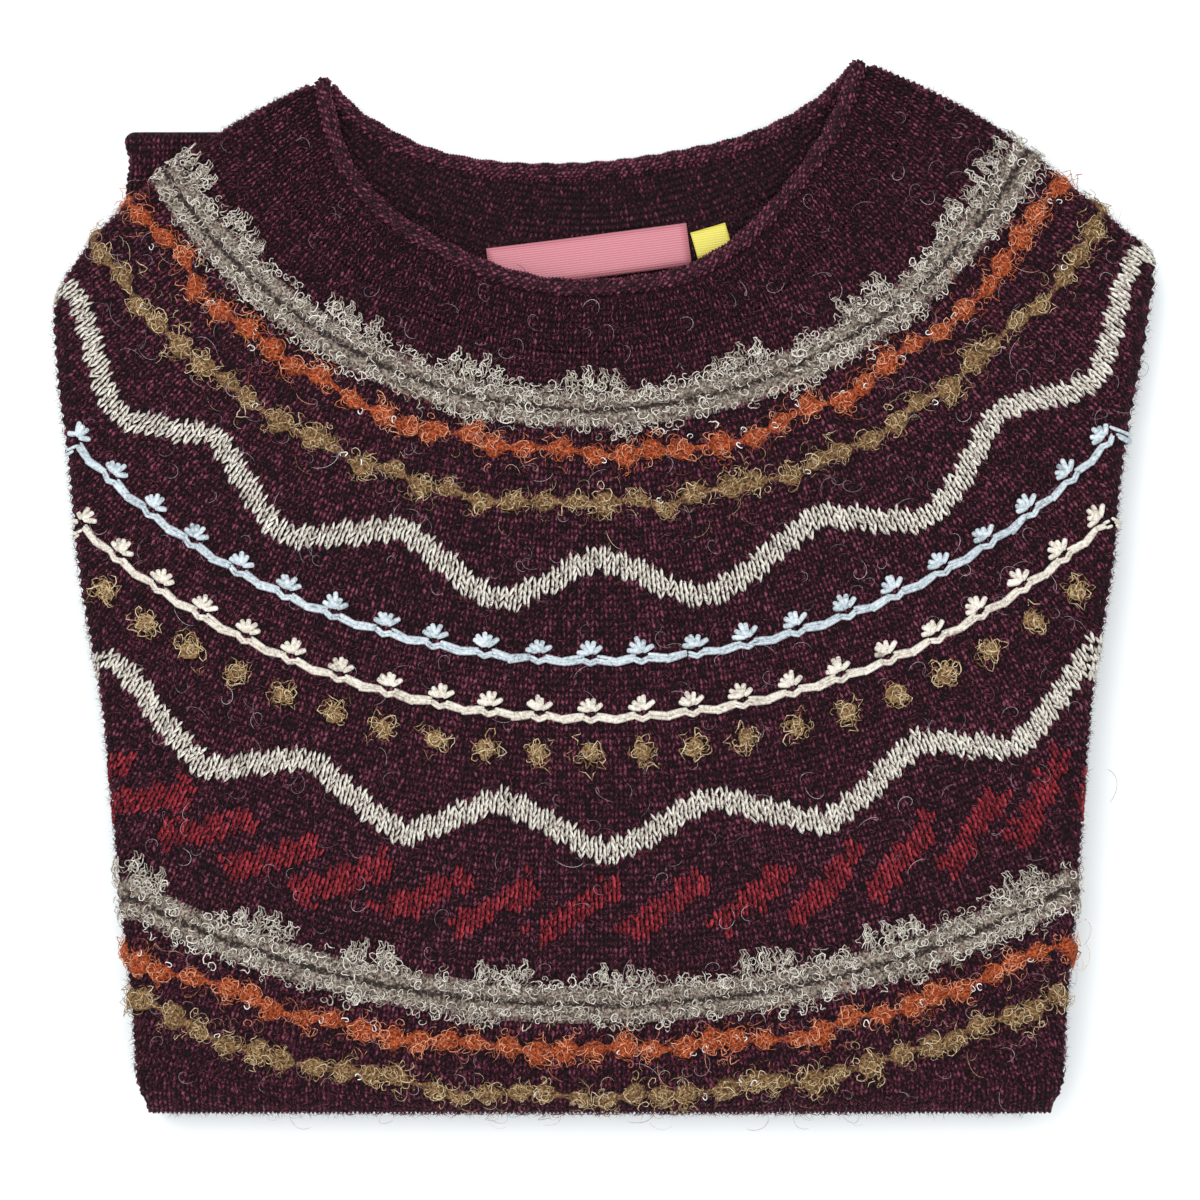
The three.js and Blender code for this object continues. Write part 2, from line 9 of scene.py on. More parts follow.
import bpy
import numpy as np
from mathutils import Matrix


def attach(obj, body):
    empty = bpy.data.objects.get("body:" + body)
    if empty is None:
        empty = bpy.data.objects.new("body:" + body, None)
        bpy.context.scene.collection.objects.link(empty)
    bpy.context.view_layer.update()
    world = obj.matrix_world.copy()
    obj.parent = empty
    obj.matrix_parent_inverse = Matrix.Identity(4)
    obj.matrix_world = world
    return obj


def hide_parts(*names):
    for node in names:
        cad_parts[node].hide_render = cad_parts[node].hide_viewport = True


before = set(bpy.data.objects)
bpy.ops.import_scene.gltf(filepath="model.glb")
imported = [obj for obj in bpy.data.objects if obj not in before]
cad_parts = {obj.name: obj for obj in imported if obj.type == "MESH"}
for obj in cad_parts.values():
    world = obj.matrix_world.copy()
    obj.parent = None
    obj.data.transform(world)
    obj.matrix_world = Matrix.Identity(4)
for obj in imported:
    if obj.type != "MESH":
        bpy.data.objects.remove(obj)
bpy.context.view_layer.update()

# %% [markdown]
# A few helpers carry the whole lesson. Colours are written as on a screen, in sRGB hex, and one
# function turns them to the linear values that Blender works in. One function adds a node. One
# turns rows of numbers into a mesh, because knitted cloth is thousands of equal stitches, and
# placing them one by one with operators would take hours. Lengths are in millimetres all
# through, apart from the camera and the lamps, and angles on the cloth are in radians.

# %% Helpers for colours, nodes and meshes
MM = 0.001
dice = np.random.default_rng(41)


def linear(hex_colour):
    """The linear colour of an sRGB hex value such as 7a2f50."""
    parts = [int(hex_colour[at:at + 2], 16) / 255 for at in (0, 2, 4)]
    return [p / 12.92 if p <= 0.04045 else ((p + 0.055) / 1.055) ** 2.4 for p in parts] + [1.0]


def add_node(material, kind, inputs=None, **settings):
    """Adds a node. An input is a value, or another node's output to link."""
    made = material.node_tree.nodes.new(kind)
    for name, value in settings.items():
        setattr(made, name, value)
    for name, value in (inputs or {}).items():
        if isinstance(value, bpy.types.NodeSocket):
            material.node_tree.links.new(value, made.inputs[name])
        else:
            made.inputs[name].default_value = value
    return made


def new_material(name):
    material = bpy.data.materials.new(name)
    material.use_nodes = True
    material.node_tree.nodes.clear()
    return material


def finish_material(material, shader):
    add_node(material, "ShaderNodeOutputMaterial", {"Surface": shader.outputs[0]})
    return material


def nothing_selected():
    if bpy.context.mode != "OBJECT":
        bpy.ops.object.mode_set(mode="OBJECT")
    bpy.ops.object.select_all(action="DESELECT")


def mesh_object(name, points, faces, material, uv=None, shade=None):
    """An object from points in millimetres and equal faces, with smooth shading."""
    mesh = bpy.data.meshes.new(name)
    sides = faces.shape[1]
    mesh.vertices.add(len(points))
    mesh.vertices.foreach_set("co", (points * MM).astype(np.float32).ravel())
    mesh.loops.add(faces.size)
    mesh.loops.foreach_set("vertex_index", faces.astype(np.int32).ravel())
    mesh.polygons.add(len(faces))
    mesh.polygons.foreach_set("loop_start", np.arange(0, faces.size, sides, dtype=np.int32))
    if uv is not None:
        layer = mesh.uv_layers.new(name="UVMap")
        layer.uv.foreach_set("vector", uv[faces.ravel()].astype(np.float32).ravel())
    values = np.zeros(len(points)) if shade is None else shade
    attribute = mesh.attributes.new("shade", "FLOAT", "POINT")
    attribute.data.foreach_set("value", values.astype(np.float32))
    mesh.update(calc_edges=True)
    mesh.shade_smooth()
    mesh.materials.append(material)
    made = bpy.data.objects.new(name, mesh)
    bpy.context.collection.objects.link(made)
    return made


def joined(parts):
    """Tables with the same columns, each column joined end to end."""
    return [np.concatenate(column) for column in zip(*parts)]


def triangle_count(piece):
    return sum(len(face.vertices) - 2 for face in piece.data.polygons)


def dress(piece, slot, *nodes):
    """The piece rides on the folded body and stands for nodes, whose solids it hides. Its slot is
    not used.
    """
    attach(piece, "root")
    if nodes:
        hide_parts(*nodes)
    print(f"{piece.name}: {triangle_count(piece)} triangles")
    return piece


# %% [markdown]
# The photograph looks almost straight down on the folded garment, from a little below it, so
# the camera stands high above it and a small step towards the hem. Soft light from all round,
# with a wide lamp above the neck, gives the faint shadow of a studio table.

# %% Camera, floor and light
CAMERA_HEIGHT = 1.42  # metres, as is all in this cell
CAMERA_BACK = 0.022
AIM = (-0.0019, -0.0058, 0.012)
FLOOR_SIZE = 6

camera_data = bpy.data.cameras.new("camera")
camera_data.lens = 113.8
camera_data.sensor_width = 36
camera_data.clip_start = 0.05
camera = bpy.data.objects.new("camera", camera_data)
camera.location = (AIM[0], AIM[1] - CAMERA_BACK, CAMERA_HEIGHT)
camera.rotation_euler = (math.atan2(CAMERA_BACK, CAMERA_HEIGHT - AIM[2]), 0, 0)
bpy.context.collection.objects.link(camera)
bpy.context.scene.camera = camera

nothing_selected()
bpy.ops.mesh.primitive_plane_add(size=FLOOR_SIZE, location=(0, 0, 0))
floor = bpy.context.object
floor.name = "floor"
# Matt paper gives the eye no gloss at all, so only the soft shadow shows on it.
paper = new_material("matt_white_paper_table")
paper_shader = add_node(paper, "ShaderNodeBsdfPrincipled", {
    "Base Color": linear("fbfdfd"), "Roughness": 0.9, "Specular IOR Level": 0.2,
})
floor.data.materials.append(finish_material(paper, paper_shader))

LAMPS = [  # name, place, size, watts
    ("key", (-0.45, 0.75, 1.4), 1.3, 18.0),
    ("fill", (0.8, -0.5, 1.4), 1.6, 10.0),
    ("low", (-0.9, -0.8, 1.0), 1.4, 5.0),
]
for lamp_name, lamp_place, lamp_size, lamp_power in LAMPS:
    lamp_data = bpy.data.lights.new(lamp_name, "AREA")
    lamp_data.size = lamp_size
    lamp_data.energy = lamp_power
    lamp = bpy.data.objects.new(lamp_name, lamp_data)
    lamp.location = lamp_place
    direction = np.array(lamp_place) / np.linalg.norm(lamp_place)
    lamp.rotation_euler = (
        math.acos(direction[2]), 0, math.atan2(direction[1], direction[0]) + math.pi / 2,
    )
    bpy.context.collection.objects.link(lamp)

world = bpy.data.worlds.new("studio")
world.use_nodes = True
world.node_tree.nodes["Background"].inputs["Color"].default_value = linear("eef3f6")
world.node_tree.nodes["Background"].inputs["Strength"].default_value = 0.78
bpy.context.scene.world = world
bpy.context.scene.view_settings.view_transform = "Standard"

# %% [markdown]
# The folded shape. A round yoke is knitted in rings, so a place on it is a ring's radius and an
# angle, measured from a centre above the neck. The tables are the ones that the solids were
# drawn from: the sides, the neck line and the height of the folded stack. Smooth curves run
# through each column.

# %% Tables of the folded shape, in millimetres and degrees
WALL = 2.4  # knitted cloth
SEAM = 0.3  # between pieces that are knitted together
YOKE_X, YOKE_Y = -5.5, 249.0  # centre of the yoke's rings
FOLD_Y, FOLD_INNER = -195.0, -183.0  # the bottom fold's outside, and where its bend starts
FOLD_REACH, FOLD_MIDDLE = 12.0, 13.2  # how far it rounds over, and its outermost height
FOLD_ARC = 13.0  # radius of the bend as the stitches follow it
HEM_Y, HEM_RIB = 17.0, 50.0  # the hem, turned up underneath, and the depth of its rib
TUCK = 150.0  # how far a side curls round
BACK_DEPTH = 6.0  # how far the inside of the back lies below the front
SIDE_FALL = {"width": 200.0, "drop": 1.6, "power": 2.5}  # the stack is thinner at its sides
NECK_DIP = {"x": -5.0, "width": 75.0, "from": 60.0, "to": 130.0, "drop": 4.8}

SIDE = np.array([  # radius, left angle, right angle, radius of the side fold
    (113, 58.2, 61.4, 3.2), (147, 59.2, 62.4, 3.6), (174, 58.9, 61.9, 4.0),
    (205, 57.6, 60.3, 4.4), (229, 55.8, 59.2, 4.6), (246, 53.6, 58.0, 4.6),
    (256, 50.5, 53.6, 4.6), (278, 43.9, 45.3, 4.6), (312, 36.9, 37.9, 4.6),
    (340, 32.0, 33.0, 4.6), (369, 28.5, 29.5, 4.6), (408, 24.9, 25.9, 4.6),
    (440, 22.4, 23.4, 4.6), (473, 20.3, 21.3, 4.6),
])
NECK = np.array([  # angle, radius of the rolled edge in front and at the back
    (-57.5, 118, 117), (-50, 125, 115.5), (-44, 130.8, 112.5), (-36, 134.6, 109),
    (-22, 137, 101.5), (-8, 139.5, 96.2), (6, 139.2, 94.5), (16, 138.5, 95.3),
    (24, 134.8, 97.5), (32, 129.5, 101.2), (42, 124, 106.4), (53, 118.3, 112),
    (60.5, 114.5, 114.5),
])
STACK = np.array([  # y, height of the stack along the middle
    (-195, 27), (-90, 27.6), (0, 26.8), (45, 25), (85, 22.8), (115, 21), (157, 18.6),
    (195, 16.2),
])
FOLDS = [  # x, y, turn, length, width, lift
    (-118, 62, 62, 62, 17, 0.9), (128, 84, -52, 58, 16, 0.9), (-60, 60, 8, 70, 24, -0.7),
    (62, 30, -14, 80, 26, 0.7), (-96, -70, 78, 90, 22, -0.8), (104, -92, -80, 84, 24, -0.7),
    (8, -110, 4, 96, 26, 0.7),
]


def curve_through(table, column):
    """A smooth curve through one column of a table, level beyond its ends."""
    places, values = table[:, 0], table[:, column]
    last = len(places) - 1

    def at(place):
        t = np.clip(place, places[0], places[last])
        i = np.clip(np.searchsorted(places, t, side="right"), 1, last)
        t0, t1, v0, v1 = places[i - 1], places[i], values[i - 1], values[i]
        first, final = i == 1, i == last
        before = np.where(first, t1, places[np.maximum(i - 2, 0)])
        v_before = np.where(first, v1, values[np.maximum(i - 2, 0)])
        after = np.where(final, t0, places[np.minimum(i + 1, last)])
        v_after = np.where(final, v0, values[np.minimum(i + 1, last)])
        half = (t1 - t0) / 2
        w0, w1 = half / (t0 - before), half / (after - t1)
        p = (t - t0) / (t1 - t0)
        q, r = p * p, p * p * p
        return (
            (-w0 * r + 2 * w0 * q - w0 * p) * v_before
            + ((1 + w0) * r + (-1.5 - 2 * w0) * q + (-0.5 + w0) * p + 1) * v0
            + ((-1 - w1) * r + (1.5 + w1) * q + 0.5 * p) * v1
            + (w1 * r - w1 * q) * v_after
        )
    return at


def smooth(value, low, high):
    t = np.clip((value - low) / (high - low), 0, 1)
    return t * t * (3 - 2 * t)


def mix(a, b, share):
    return a + (b - a) * share


neck_front_at, neck_back_at = curve_through(NECK, 1), curve_through(NECK, 2)
stack_at = curve_through(STACK, 1)


def neck_front(angle):
    return neck_front_at(np.degrees(angle))


def neck_back(angle):
    return neck_back_at(np.degrees(angle))


def top_height(x, y):
    """Height of the top layer: the stack, its thin sides, the dip at the neck, soft folds."""
    bowl = np.exp(-((x - NECK_DIP["x"]) / NECK_DIP["width"]) ** 2)
    dip = NECK_DIP["drop"] * smooth(y, NECK_DIP["from"], NECK_DIP["to"]) * bowl
    fall = SIDE_FALL["drop"] * np.abs(x / SIDE_FALL["width"]) ** SIDE_FALL["power"]
    height = stack_at(y) - fall - dip
    for fold_x, fold_y, turn, length, width, lift in FOLDS:
        c, s = math.cos(math.radians(turn)), math.sin(math.radians(turn))
        along = (x - fold_x) * c + (y - fold_y) * s
        across = (y - fold_y) * c - (x - fold_x) * s
        height = height + lift * np.exp(-((along / length) ** 2) - (across / width) ** 2)
    return height


print("height over the middle:", round(float(top_height(0.0, 0.0)), 2), "mm")

# %% [markdown]
# The sides and the bottom of the jumper are folded under. Each fold is a round bend, so a place
# beyond the edge is carried round it by its own length of cloth. One function does this for
# every stitch, and gives the directions along and across the knitting too.

# %% Carry a place on the rings round the folds
SIDE_RADII = np.arange(104.0, 512.0, 3.0)
SHIFT_FADES = (-188, -150)  # y over which the sides' own curve gives way to the bottom fold
MOST_BEND = math.radians(170)
CORNERS = 0.5  # radians within which both bottom corners lie


def side_table(side):
    """For each ring: the angle where the fold starts, the way it curls, and its radius."""
    angles = curve_through(SIDE, 1 if side < 0 else 2)
    rolls = curve_through(SIDE, 3)

    def point(radius):
        angle = side * np.radians(angles(radius))
        return np.stack([YOKE_X + radius * np.sin(angle), YOKE_Y - radius * np.cos(angle)], -1)

    down = point(SIDE_RADII + 1) - point(SIDE_RADII - 1)
    down /= np.linalg.norm(down, axis=1)[:, None]
    outward = np.stack([-side * down[:, 1], side * down[:, 0]], -1)
    roll = rolls(SIDE_RADII)
    start = point(SIDE_RADII) - outward * roll[:, None]
    angle = np.arctan2(start[:, 0] - YOKE_X, YOKE_Y - start[:, 1])
    shift = np.hypot(start[:, 0] - YOKE_X, start[:, 1] - YOKE_Y) - SIDE_RADII
    return np.column_stack([angle, outward, roll, shift])


SIDE_TABLES = {-1: side_table(-1), 1: side_table(1)}


def side_values(radius, side):
    table = SIDE_TABLES[side]
    return [np.interp(radius, SIDE_RADII, table[:, at]) for at in range(5)]


def held(radius, angle):
    """A ring's radius, held at the bottom fold: beyond it the sides run on straight."""
    return np.minimum(radius, (YOKE_Y - FOLD_INNER) / np.cos(np.clip(angle, -CORNERS, CORNERS)))


def place(radius, angle, lift=0.0, under=False):
    """Points at a ring's radius and an angle, at a height above the cloth's outer face."""
    radius, angle = np.broadcast_arrays(np.asarray(radius, float), np.asarray(angle, float))
    side_ring = held(radius, angle)
    left, right = side_values(side_ring, -1), side_values(side_ring, 1)
    flat = np.clip(angle, left[0], right[0])
    share = (flat - left[0]) / (right[0] - left[0])
    end = [np.where(angle < flat, a, b) for a, b in zip(left, right)]
    plan_y = YOKE_Y - radius * np.cos(flat)
    ease = smooth(plan_y, *SHIFT_FADES)
    ring = radius + (left[4] * (1 - share) ** 8 + right[4] * share ** 8) * ease
    x, y = YOKE_X + ring * np.sin(flat), YOKE_Y - ring * np.cos(flat)
    past = np.maximum(FOLD_INNER - y, 0)
    x = x - past * np.tan(flat)
    top = top_height(x, np.maximum(y, FOLD_Y))
    if under:
        sin_fold = np.clip(past / FOLD_REACH, 0, 1)
        cos_fold = np.sqrt(1 - sin_fold ** 2)
        below = np.ones(x.shape, bool)
    else:
        bend = np.minimum(past / FOLD_ARC, MOST_BEND)
        sin_fold, cos_fold, below = np.sin(bend), np.abs(np.cos(bend)), bend > math.pi / 2
    tuck = np.radians(mix(TUCK, 90, sin_fold))
    turn = np.minimum(np.abs(angle - flat) * radius / end[3], tuck)
    sin_side = np.sin(turn)
    both = np.maximum(np.hypot(sin_side, sin_fold), 1e-9)
    corner = np.where(sin_side * sin_fold > 0, np.maximum(sin_side, sin_fold) / both, 1)
    out = (end[3] + lift) * sin_side * corner
    y = np.where(past > 0, FOLD_INNER - (FOLD_REACH + lift) * sin_fold * corner, y)
    side_drop = (end[3] + lift) * (1 - np.cos(turn)) * cos_fold
    middle = np.where(below, FOLD_MIDDLE, top - FOLD_MIDDLE)
    drop = -lift + side_drop + (middle + lift) * (1 - cos_fold)
    z = np.where(below, drop, top - drop)
    return np.stack([x + end[1] * out, y + end[2] * out, z], -1)


def unit(vectors):
    return vectors / np.maximum(np.linalg.norm(vectors, axis=-1, keepdims=True), 1e-9)


def frame_on(surface, u, v, lift=0.0, steps=None):
    """Points on a surface, with the ways down the garment, across it and out of it."""
    du, dv = steps or (0.6, 0.6 / np.asarray(u, float))
    down = unit(surface(u + du, v, lift) - surface(u - du, v, lift))
    across = unit(surface(u, v + dv, lift) - surface(u, v - dv, lift))
    return surface(u, v, lift), down, across, unit(np.cross(down, across))


def fold_angle(radius_at, side, beyond=0.0):
    """Where a row that isn't a ring meets the side fold, and a length of cloth past it."""
    angle = side * CORNERS
    for _ in range(40):
        angle = (angle + side_values(held(radius_at(angle), angle), side)[0]) / 2
    return angle + side * beyond / radius_at(angle)


print("widest ring:", place(250.0, 1.2).round(1), place(250.0, -1.2).round(1))

# %% [markdown]
# Every finish here is wool, so one recipe makes them all. Wool yarn is a bundle of crimped
# fibres given their dye before spinning, which gives a heather: a body colour and a few light
# fibres, with painted shade for the dark hollows between them. The eye sees that as short
# streaks about a millimetre long. The fibres that stand off the yarn catch light from the side,
# which is what sheen does. Object coordinates keep the streaks the same size on every piece.

# %% Wool yarns
def streaks(material, grain, stretch=(1, 1, 1)):
    """Noise whose streaks are grain millimetres wide."""
    coords = add_node(material, "ShaderNodeTexCoord")
    turned = add_node(material, "ShaderNodeMapping", {
        "Vector": coords.outputs["Object"], "Scale": stretch,
    })
    return add_node(material, "ShaderNodeTexNoise", {
        "Vector": turned.outputs["Vector"], "Scale": 1 / (grain * MM) / 2, "Detail": 3.0,
        "Roughness": 0.65,
    })


def dyed(material, value, stops):
    """Colours over a value: painted shade for the hollows between the fibres at the low end, then
    the dye's colours up to the lightest fibre.
    """
    ramp = add_node(material, "ShaderNodeValToRGB", {"Fac": value})
    while len(ramp.color_ramp.elements) < len(stops):
        ramp.color_ramp.elements.new(0.5)
    for element, (position, colour) in zip(ramp.color_ramp.elements, stops):
        element.position = position
        element.color = linear(colour)
    return ramp


def make_wool(name, stops, grain=0.6, sheen=0.1, tint="a04a66", bump=0.5):
    """Yarn of a heathered wool. stops are colours from the painted shade of its hollows to its
    lightest fibres.
    """
    material = new_material(name)
    noise = streaks(material, grain)
    shade = add_node(material, "ShaderNodeAttribute", attribute_name="shade")
    value = add_node(material, "ShaderNodeMath", {
        0: noise.outputs["Fac"], 1: shade.outputs["Fac"],
    }, operation="ADD")
    # Painted shade: the ramp's low end stands for the hollows between the fibres.
    ramp = dyed(material, value.outputs[0], stops)
    fibres = streaks(material, grain * 0.35)
    relief = add_node(material, "ShaderNodeBump", {
        "Strength": bump, "Distance": 0.3 * MM, "Height": fibres.outputs["Fac"],
    })
    shader = add_node(material, "ShaderNodeBsdfPrincipled", {
        "Base Color": ramp.outputs["Color"], "Roughness": 0.88, "Specular IOR Level": 0.25,
        "Sheen Weight": sheen, "Sheen Roughness": 0.45, "Sheen Tint": linear(tint),
        "Normal": relief.outputs["Normal"],
    })
    return finish_material(material, shader)


# Wine heather: painted shade, nearly black, between the stitches, wine on them, with small flecks
# of rose.
wine_wool = make_wool("wine_heather_shetland_wool", [
    (0.4, "070304"), (0.51, "220a13"), (0.61, "4a192a"), (0.78, "824356"),
], grain=0.45)
# The same wool inside the garment, where less light reaches its flecks.
wine_wool_painted_shade = make_wool("wine_heather_wool_inside", [
    (0.4, "060203"), (0.52, "1c0810"), (0.63, "3c1524"), (0.8, "6a3046"),
])
# Undyed lambswool: chalky cream stitches with painted shade, warm grey, in their hollows, a little
# soft at their edges.
cream_wool = make_wool("undyed_cream_lambswool", [
    (0.25, "6a6257"), (0.45, "bab2a5"), (0.62, "dad3c7"), (0.8, "f1ede4"),
], tint="ffffff", sheen=0.15)
# Brushed red wool: a dull glow that sinks into the wine around it.
red_wool = make_wool("madder_red_brushed_wool", [
    (0.36, "1f060a"), (0.48, "540f19"), (0.6, "831c28"), (0.78, "a83a44"),
], tint="c8606a")
# Mercerised wool: smooth plies, almost white, with cool grey-blue shadows.
blue_wool = make_wool("pale_blue_mercerised_wool", [
    (0.25, "747f86"), (0.45, "b1bcc2"), (0.62, "ced6db"), (0.8, "eceff1"),
], tint="ffffff", sheen=0.15)
# Worsted wool: combed smooth, so it reads as the lightest and cleanest thread.
ecru_wool = make_wool("ecru_worsted_wool", [
    (0.25, "857c70"), (0.45, "cbc2b4"), (0.62, "e5ded2"), (0.8, "f8f4eb"),
], tint="ffffff", sheen=0.15)
# Grey boucle: pale curls over painted shade, dark in the hollows, which gives the band its crumbly
# depth.
grey_loops = make_wool("oatmeal_grey_boucle_wool", [
    (0.2, "241d1a"), (0.36, "7d7065"), (0.52, "b3a798"), (0.72, "ede7dc"),
], grain=0.55, tint="ffffff")
# Orange mohair: hot curls whose hairs catch a peach light at their edges.
orange_loops = make_wool("burnt_orange_boucle_mohair", [
    (0.25, "371308"), (0.42, "98401c"), (0.56, "c9643a"), (0.74, "f4b491"),
], grain=0.5, tint="ffc9a0")
# Gold mohair: dull brown-gold knots, lighter where their hairs stand off.
gold_loops = make_wool("old_gold_boucle_mohair", [
    (0.25, "2a1e0f"), (0.42, "78593a"), (0.56, "a98659"), (0.74, "e8d2ab"),
], grain=0.5, tint="ffe7b0")
# A smooth white thread: single bright specks among the curls.
glint_thread = make_wool("white_polyamide_glint_thread", [
    (0.3, "d9d4cd"), (0.5, "f6f3ee"), (0.6, "ffffff"), (0.8, "ffffff"),
], tint="ffffff", sheen=0.1, bump=0.1)
# Guard hairs: coarse pale hairs of the fleece, which show as fine light scribbles.
stray_wool = make_wool("stray_mauve_guard_hairs", [
    (0.3, "4f3340"), (0.5, "7f6472"), (0.65, "a8959e"), (0.8, "d6ccd1"),
], tint="ffffff")
print("wool finishes made:", len(bpy.data.materials) - 1)

# %% [markdown]
# The jersey under the stitches needs its own finish where it is seen without them, as on the
# underside. Its pattern is worked out on the UV map, which counts stitches: one unit across is
# one wale, 3.25 mm wide, and one unit down is one course, 2.4 mm high. Each half wale is a
# slanting leg of yarn, high in its middle. A table of sums says how high the yarn stands, and
# paints it lighter where it stands high and darker in its hollows: painted light and shade.

# %% Knitted jersey
WALE, COURSE = 3.25, 2.4


def make_jersey(name, stops, grain=0.8, purl=False):
    """Heathered jersey. The purl side shows low bars across instead of slanting legs."""
    material = new_material(name)
    uv = add_node(material, "ShaderNodeUVMap", uv_map="UVMap")
    split = add_node(material, "ShaderNodeSeparateXYZ", {"Vector": uv.outputs["UV"]})
    known = {
        "across": split.outputs["X"], "down": split.outputs["Y"],
        "heather": streaks(material, grain).outputs["Fac"],
    }
    slant = 0.12 if purl else -0.8
    for result, operation, first, second in (
            ("wale", "FRACT", "across", 0.0),
            ("centred", "SUBTRACT", "wale", 0.5),
            ("off_middle", "ABSOLUTE", "centred", 0.0),
            ("from_middle", "MULTIPLY", "off_middle", 2.0),
            ("half_turn", "MULTIPLY", "from_middle", math.pi),
            ("leg", "SINE", "half_turn", 0.0),
            ("slant", "MULTIPLY", "from_middle", slant),
            ("slanted", "ADD", "down", "slant"),
            ("course", "MULTIPLY", "slanted", math.pi),
            ("wave", "SINE", "course", 0.0),
            ("ridge", "ABSOLUTE", "wave", 0.0),
            ("half_leg", "MULTIPLY", "leg", 0.5),
            ("fullness", "ADD", "half_leg", 0.5),
            ("height", "MULTIPLY", "ridge", "fullness"),
            ("raised", "SUBTRACT", "height", 0.6),
            # Painted light: the yarn is lighter where it stands high and darker in its hollows.
            ("lightness", "MULTIPLY", "raised", 0.35),
            ("shade", "ADD", "heather", "lightness")):
        known[result] = add_node(material, "ShaderNodeMath", {
            0: known[first], 1: known.get(second, second),
        }, operation=operation).outputs[0]
    ramp = dyed(material, known["shade"], stops)
    relief = add_node(material, "ShaderNodeBump", {
        "Strength": 0.9, "Distance": 0.9 * MM, "Height": known["height"],
    })
    shader = add_node(material, "ShaderNodeBsdfPrincipled", {
        "Base Color": ramp.outputs["Color"], "Roughness": 0.9, "Specular IOR Level": 0.2,
        "Sheen Weight": 0.1, "Sheen Roughness": 0.5, "Sheen Tint": linear("a04a66"),
        "Normal": relief.outputs["Normal"],
    })
    return finish_material(material, shader)


# The knit side: columns of small Vs, painted darker than the stitches that stand on it in front, as
# shade beneath them.
wine_jersey = make_jersey("wine_wool_jersey", [
    (0.38, "080305"), (0.52, "200a13"), (0.66, "401625"), (0.84, "70354a"),
])
# The purl side: fine bars across, dull because their hollows hold the shadow.
purl_jersey = make_jersey("wine_wool_jersey_purl_side", [
    (0.36, "090306"), (0.5, "1d0911"), (0.64, "371320"), (0.82, "5c2b3c"),
], purl=True)

# %% [markdown]
# The front is one sheet of cloth, from the neck band over the bottom fold and on underneath to
# the ribbed hem. Cloth is made in mesh code: rows of points on the folded shape, once for the
# outer face and once for the inner one, closed by a rim all round. That keeps the real
# thickness, and the folds stay round.

# %% The front
def wall(outer, inner):
    """Points and quads of a closed wall between two faces, each given as rows of points."""
    rows, width = outer.shape[:2]
    at = np.arange(rows * width).reshape(rows, width)
    a, b, c, d = at[:-1, :-1], at[1:, :-1], at[1:, 1:], at[:-1, 1:]
    half = rows * width
    rim = np.concatenate([at[0], at[1:, -1], at[-1, -2::-1], at[-2:0:-1, 0]])
    after = np.roll(rim, -1)
    faces = np.concatenate([
        np.stack([a, b, c, d], -1).reshape(-1, 4),
        np.stack([a, d, c, b], -1).reshape(-1, 4) + half,
        np.stack([rim, after, after + half, rim + half], -1),
    ])
    return np.concatenate([outer.reshape(-1, 3), inner.reshape(-1, 3)]), faces


CELLS, CURL_CELLS = 72, 6  # across the flat part of a row, and round each side fold
CURL = 12.0  # cloth past the start of a side fold
FRONT_RING = 250  # where the jersey's wales have their true width


def across_row(radius_at):
    """Angles across one row, the flat part and then the cloth curling round each side."""
    left, right = fold_angle(radius_at, -1), fold_angle(radius_at, 1)
    curl = np.linspace(0, 1, CURL_CELLS + 1)[1:]
    return np.concatenate([
        left - (curl * CURL / radius_at(left))[::-1],
        np.linspace(left, right, CELLS + 1),
        right + curl * CURL / radius_at(right),
    ])


def cloth_face(rows, lift, under=False):
    """A face of cloth through rows. Each row is a function from an angle to a radius."""
    points, uv = [], []
    for radius_at in rows:
        angles = across_row(radius_at)
        radii = radius_at(angles) * np.ones(len(angles))
        points.append(place(radii, angles, lift, under))
        uv.append(np.stack([angles * FRONT_RING / WALE, radii / COURSE], -1))
    return np.array(points), np.array(uv)


def ring(radius):
    return lambda angle: radius + angle * 0


def straight(y):
    return lambda angle: (YOKE_Y - y) / np.cos(angle)


def below_neck(distance):
    return lambda angle: neck_front(angle) + distance


def between(upper, lower, share):
    return lambda angle: mix(upper(angle), lower(angle), share)


def both_faces(rows, under_rows=()):
    """A closed wall of cloth through rows on top and, past the bottom fold, rows underneath."""
    points, uvs = [], []
    for lift in (0.0, -WALL):
        face, uv = cloth_face(rows, lift)
        if under_rows:
            below, below_uv = cloth_face(under_rows, lift, under=True)
            face = np.concatenate([face, below])
            uv = np.concatenate([uv, below_uv + [0, UNDER_COURSES]])
        points.append(face)
        uvs.append(uv.reshape(-1, 2))
    return *wall(*points), np.concatenate(uvs)


FIRST_BAND, LAST_BAND = 176, 424  # rings between which the rows are round
BAND_FOOT = 24.5  # from the neck's edge to the foot of its band
UNDER_Y = -178  # where the turned-up part is flat again
UNDER_COURSES = 150  # keeps its stitches apart from those on top
FOLD_LINE = FOLD_INNER - FOLD_ARC * math.pi / 2

top_rows = [between(below_neck(BAND_FOOT), ring(FIRST_BAND), s) for s in np.linspace(0, 1, 6)[:-1]]
top_rows += [ring(r) for r in np.arange(FIRST_BAND, LAST_BAND, 5.0)]
top_rows += [between(ring(LAST_BAND), straight(FOLD_INNER), s) for s in np.linspace(0, 1, 8)[:-1]]
top_rows += [straight(mix(FOLD_INNER, FOLD_LINE, s)) for s in np.linspace(0, 1, 7)]
fold_rows = [FOLD_INNER - FOLD_REACH * math.sin(math.radians(turn))
             for turn in (76, 62, 48, 34, 20, 8, 0)]
hem_seam = HEM_Y - HEM_RIB - SEAM
under_rows = [straight(y) for y in fold_rows + list(np.linspace(UNDER_Y, hem_seam, 30))]
points, faces, uv = both_faces(top_rows, under_rows)
front = mesh_object("front", points, faces, wine_jersey, uv)
dress(front, "wine_knit", "front")


def flat_area(piece):
    """Half of a closed sheet's surface, in square metres: the cloth in it."""
    return sum(face.area for face in piece.data.polygons) / 2


print("cloth in the front:", round(flat_area(front), 4), "square metres")

# %% [markdown]
# The ribbed hem is turned up underneath with the front, and is a piece of its own there.

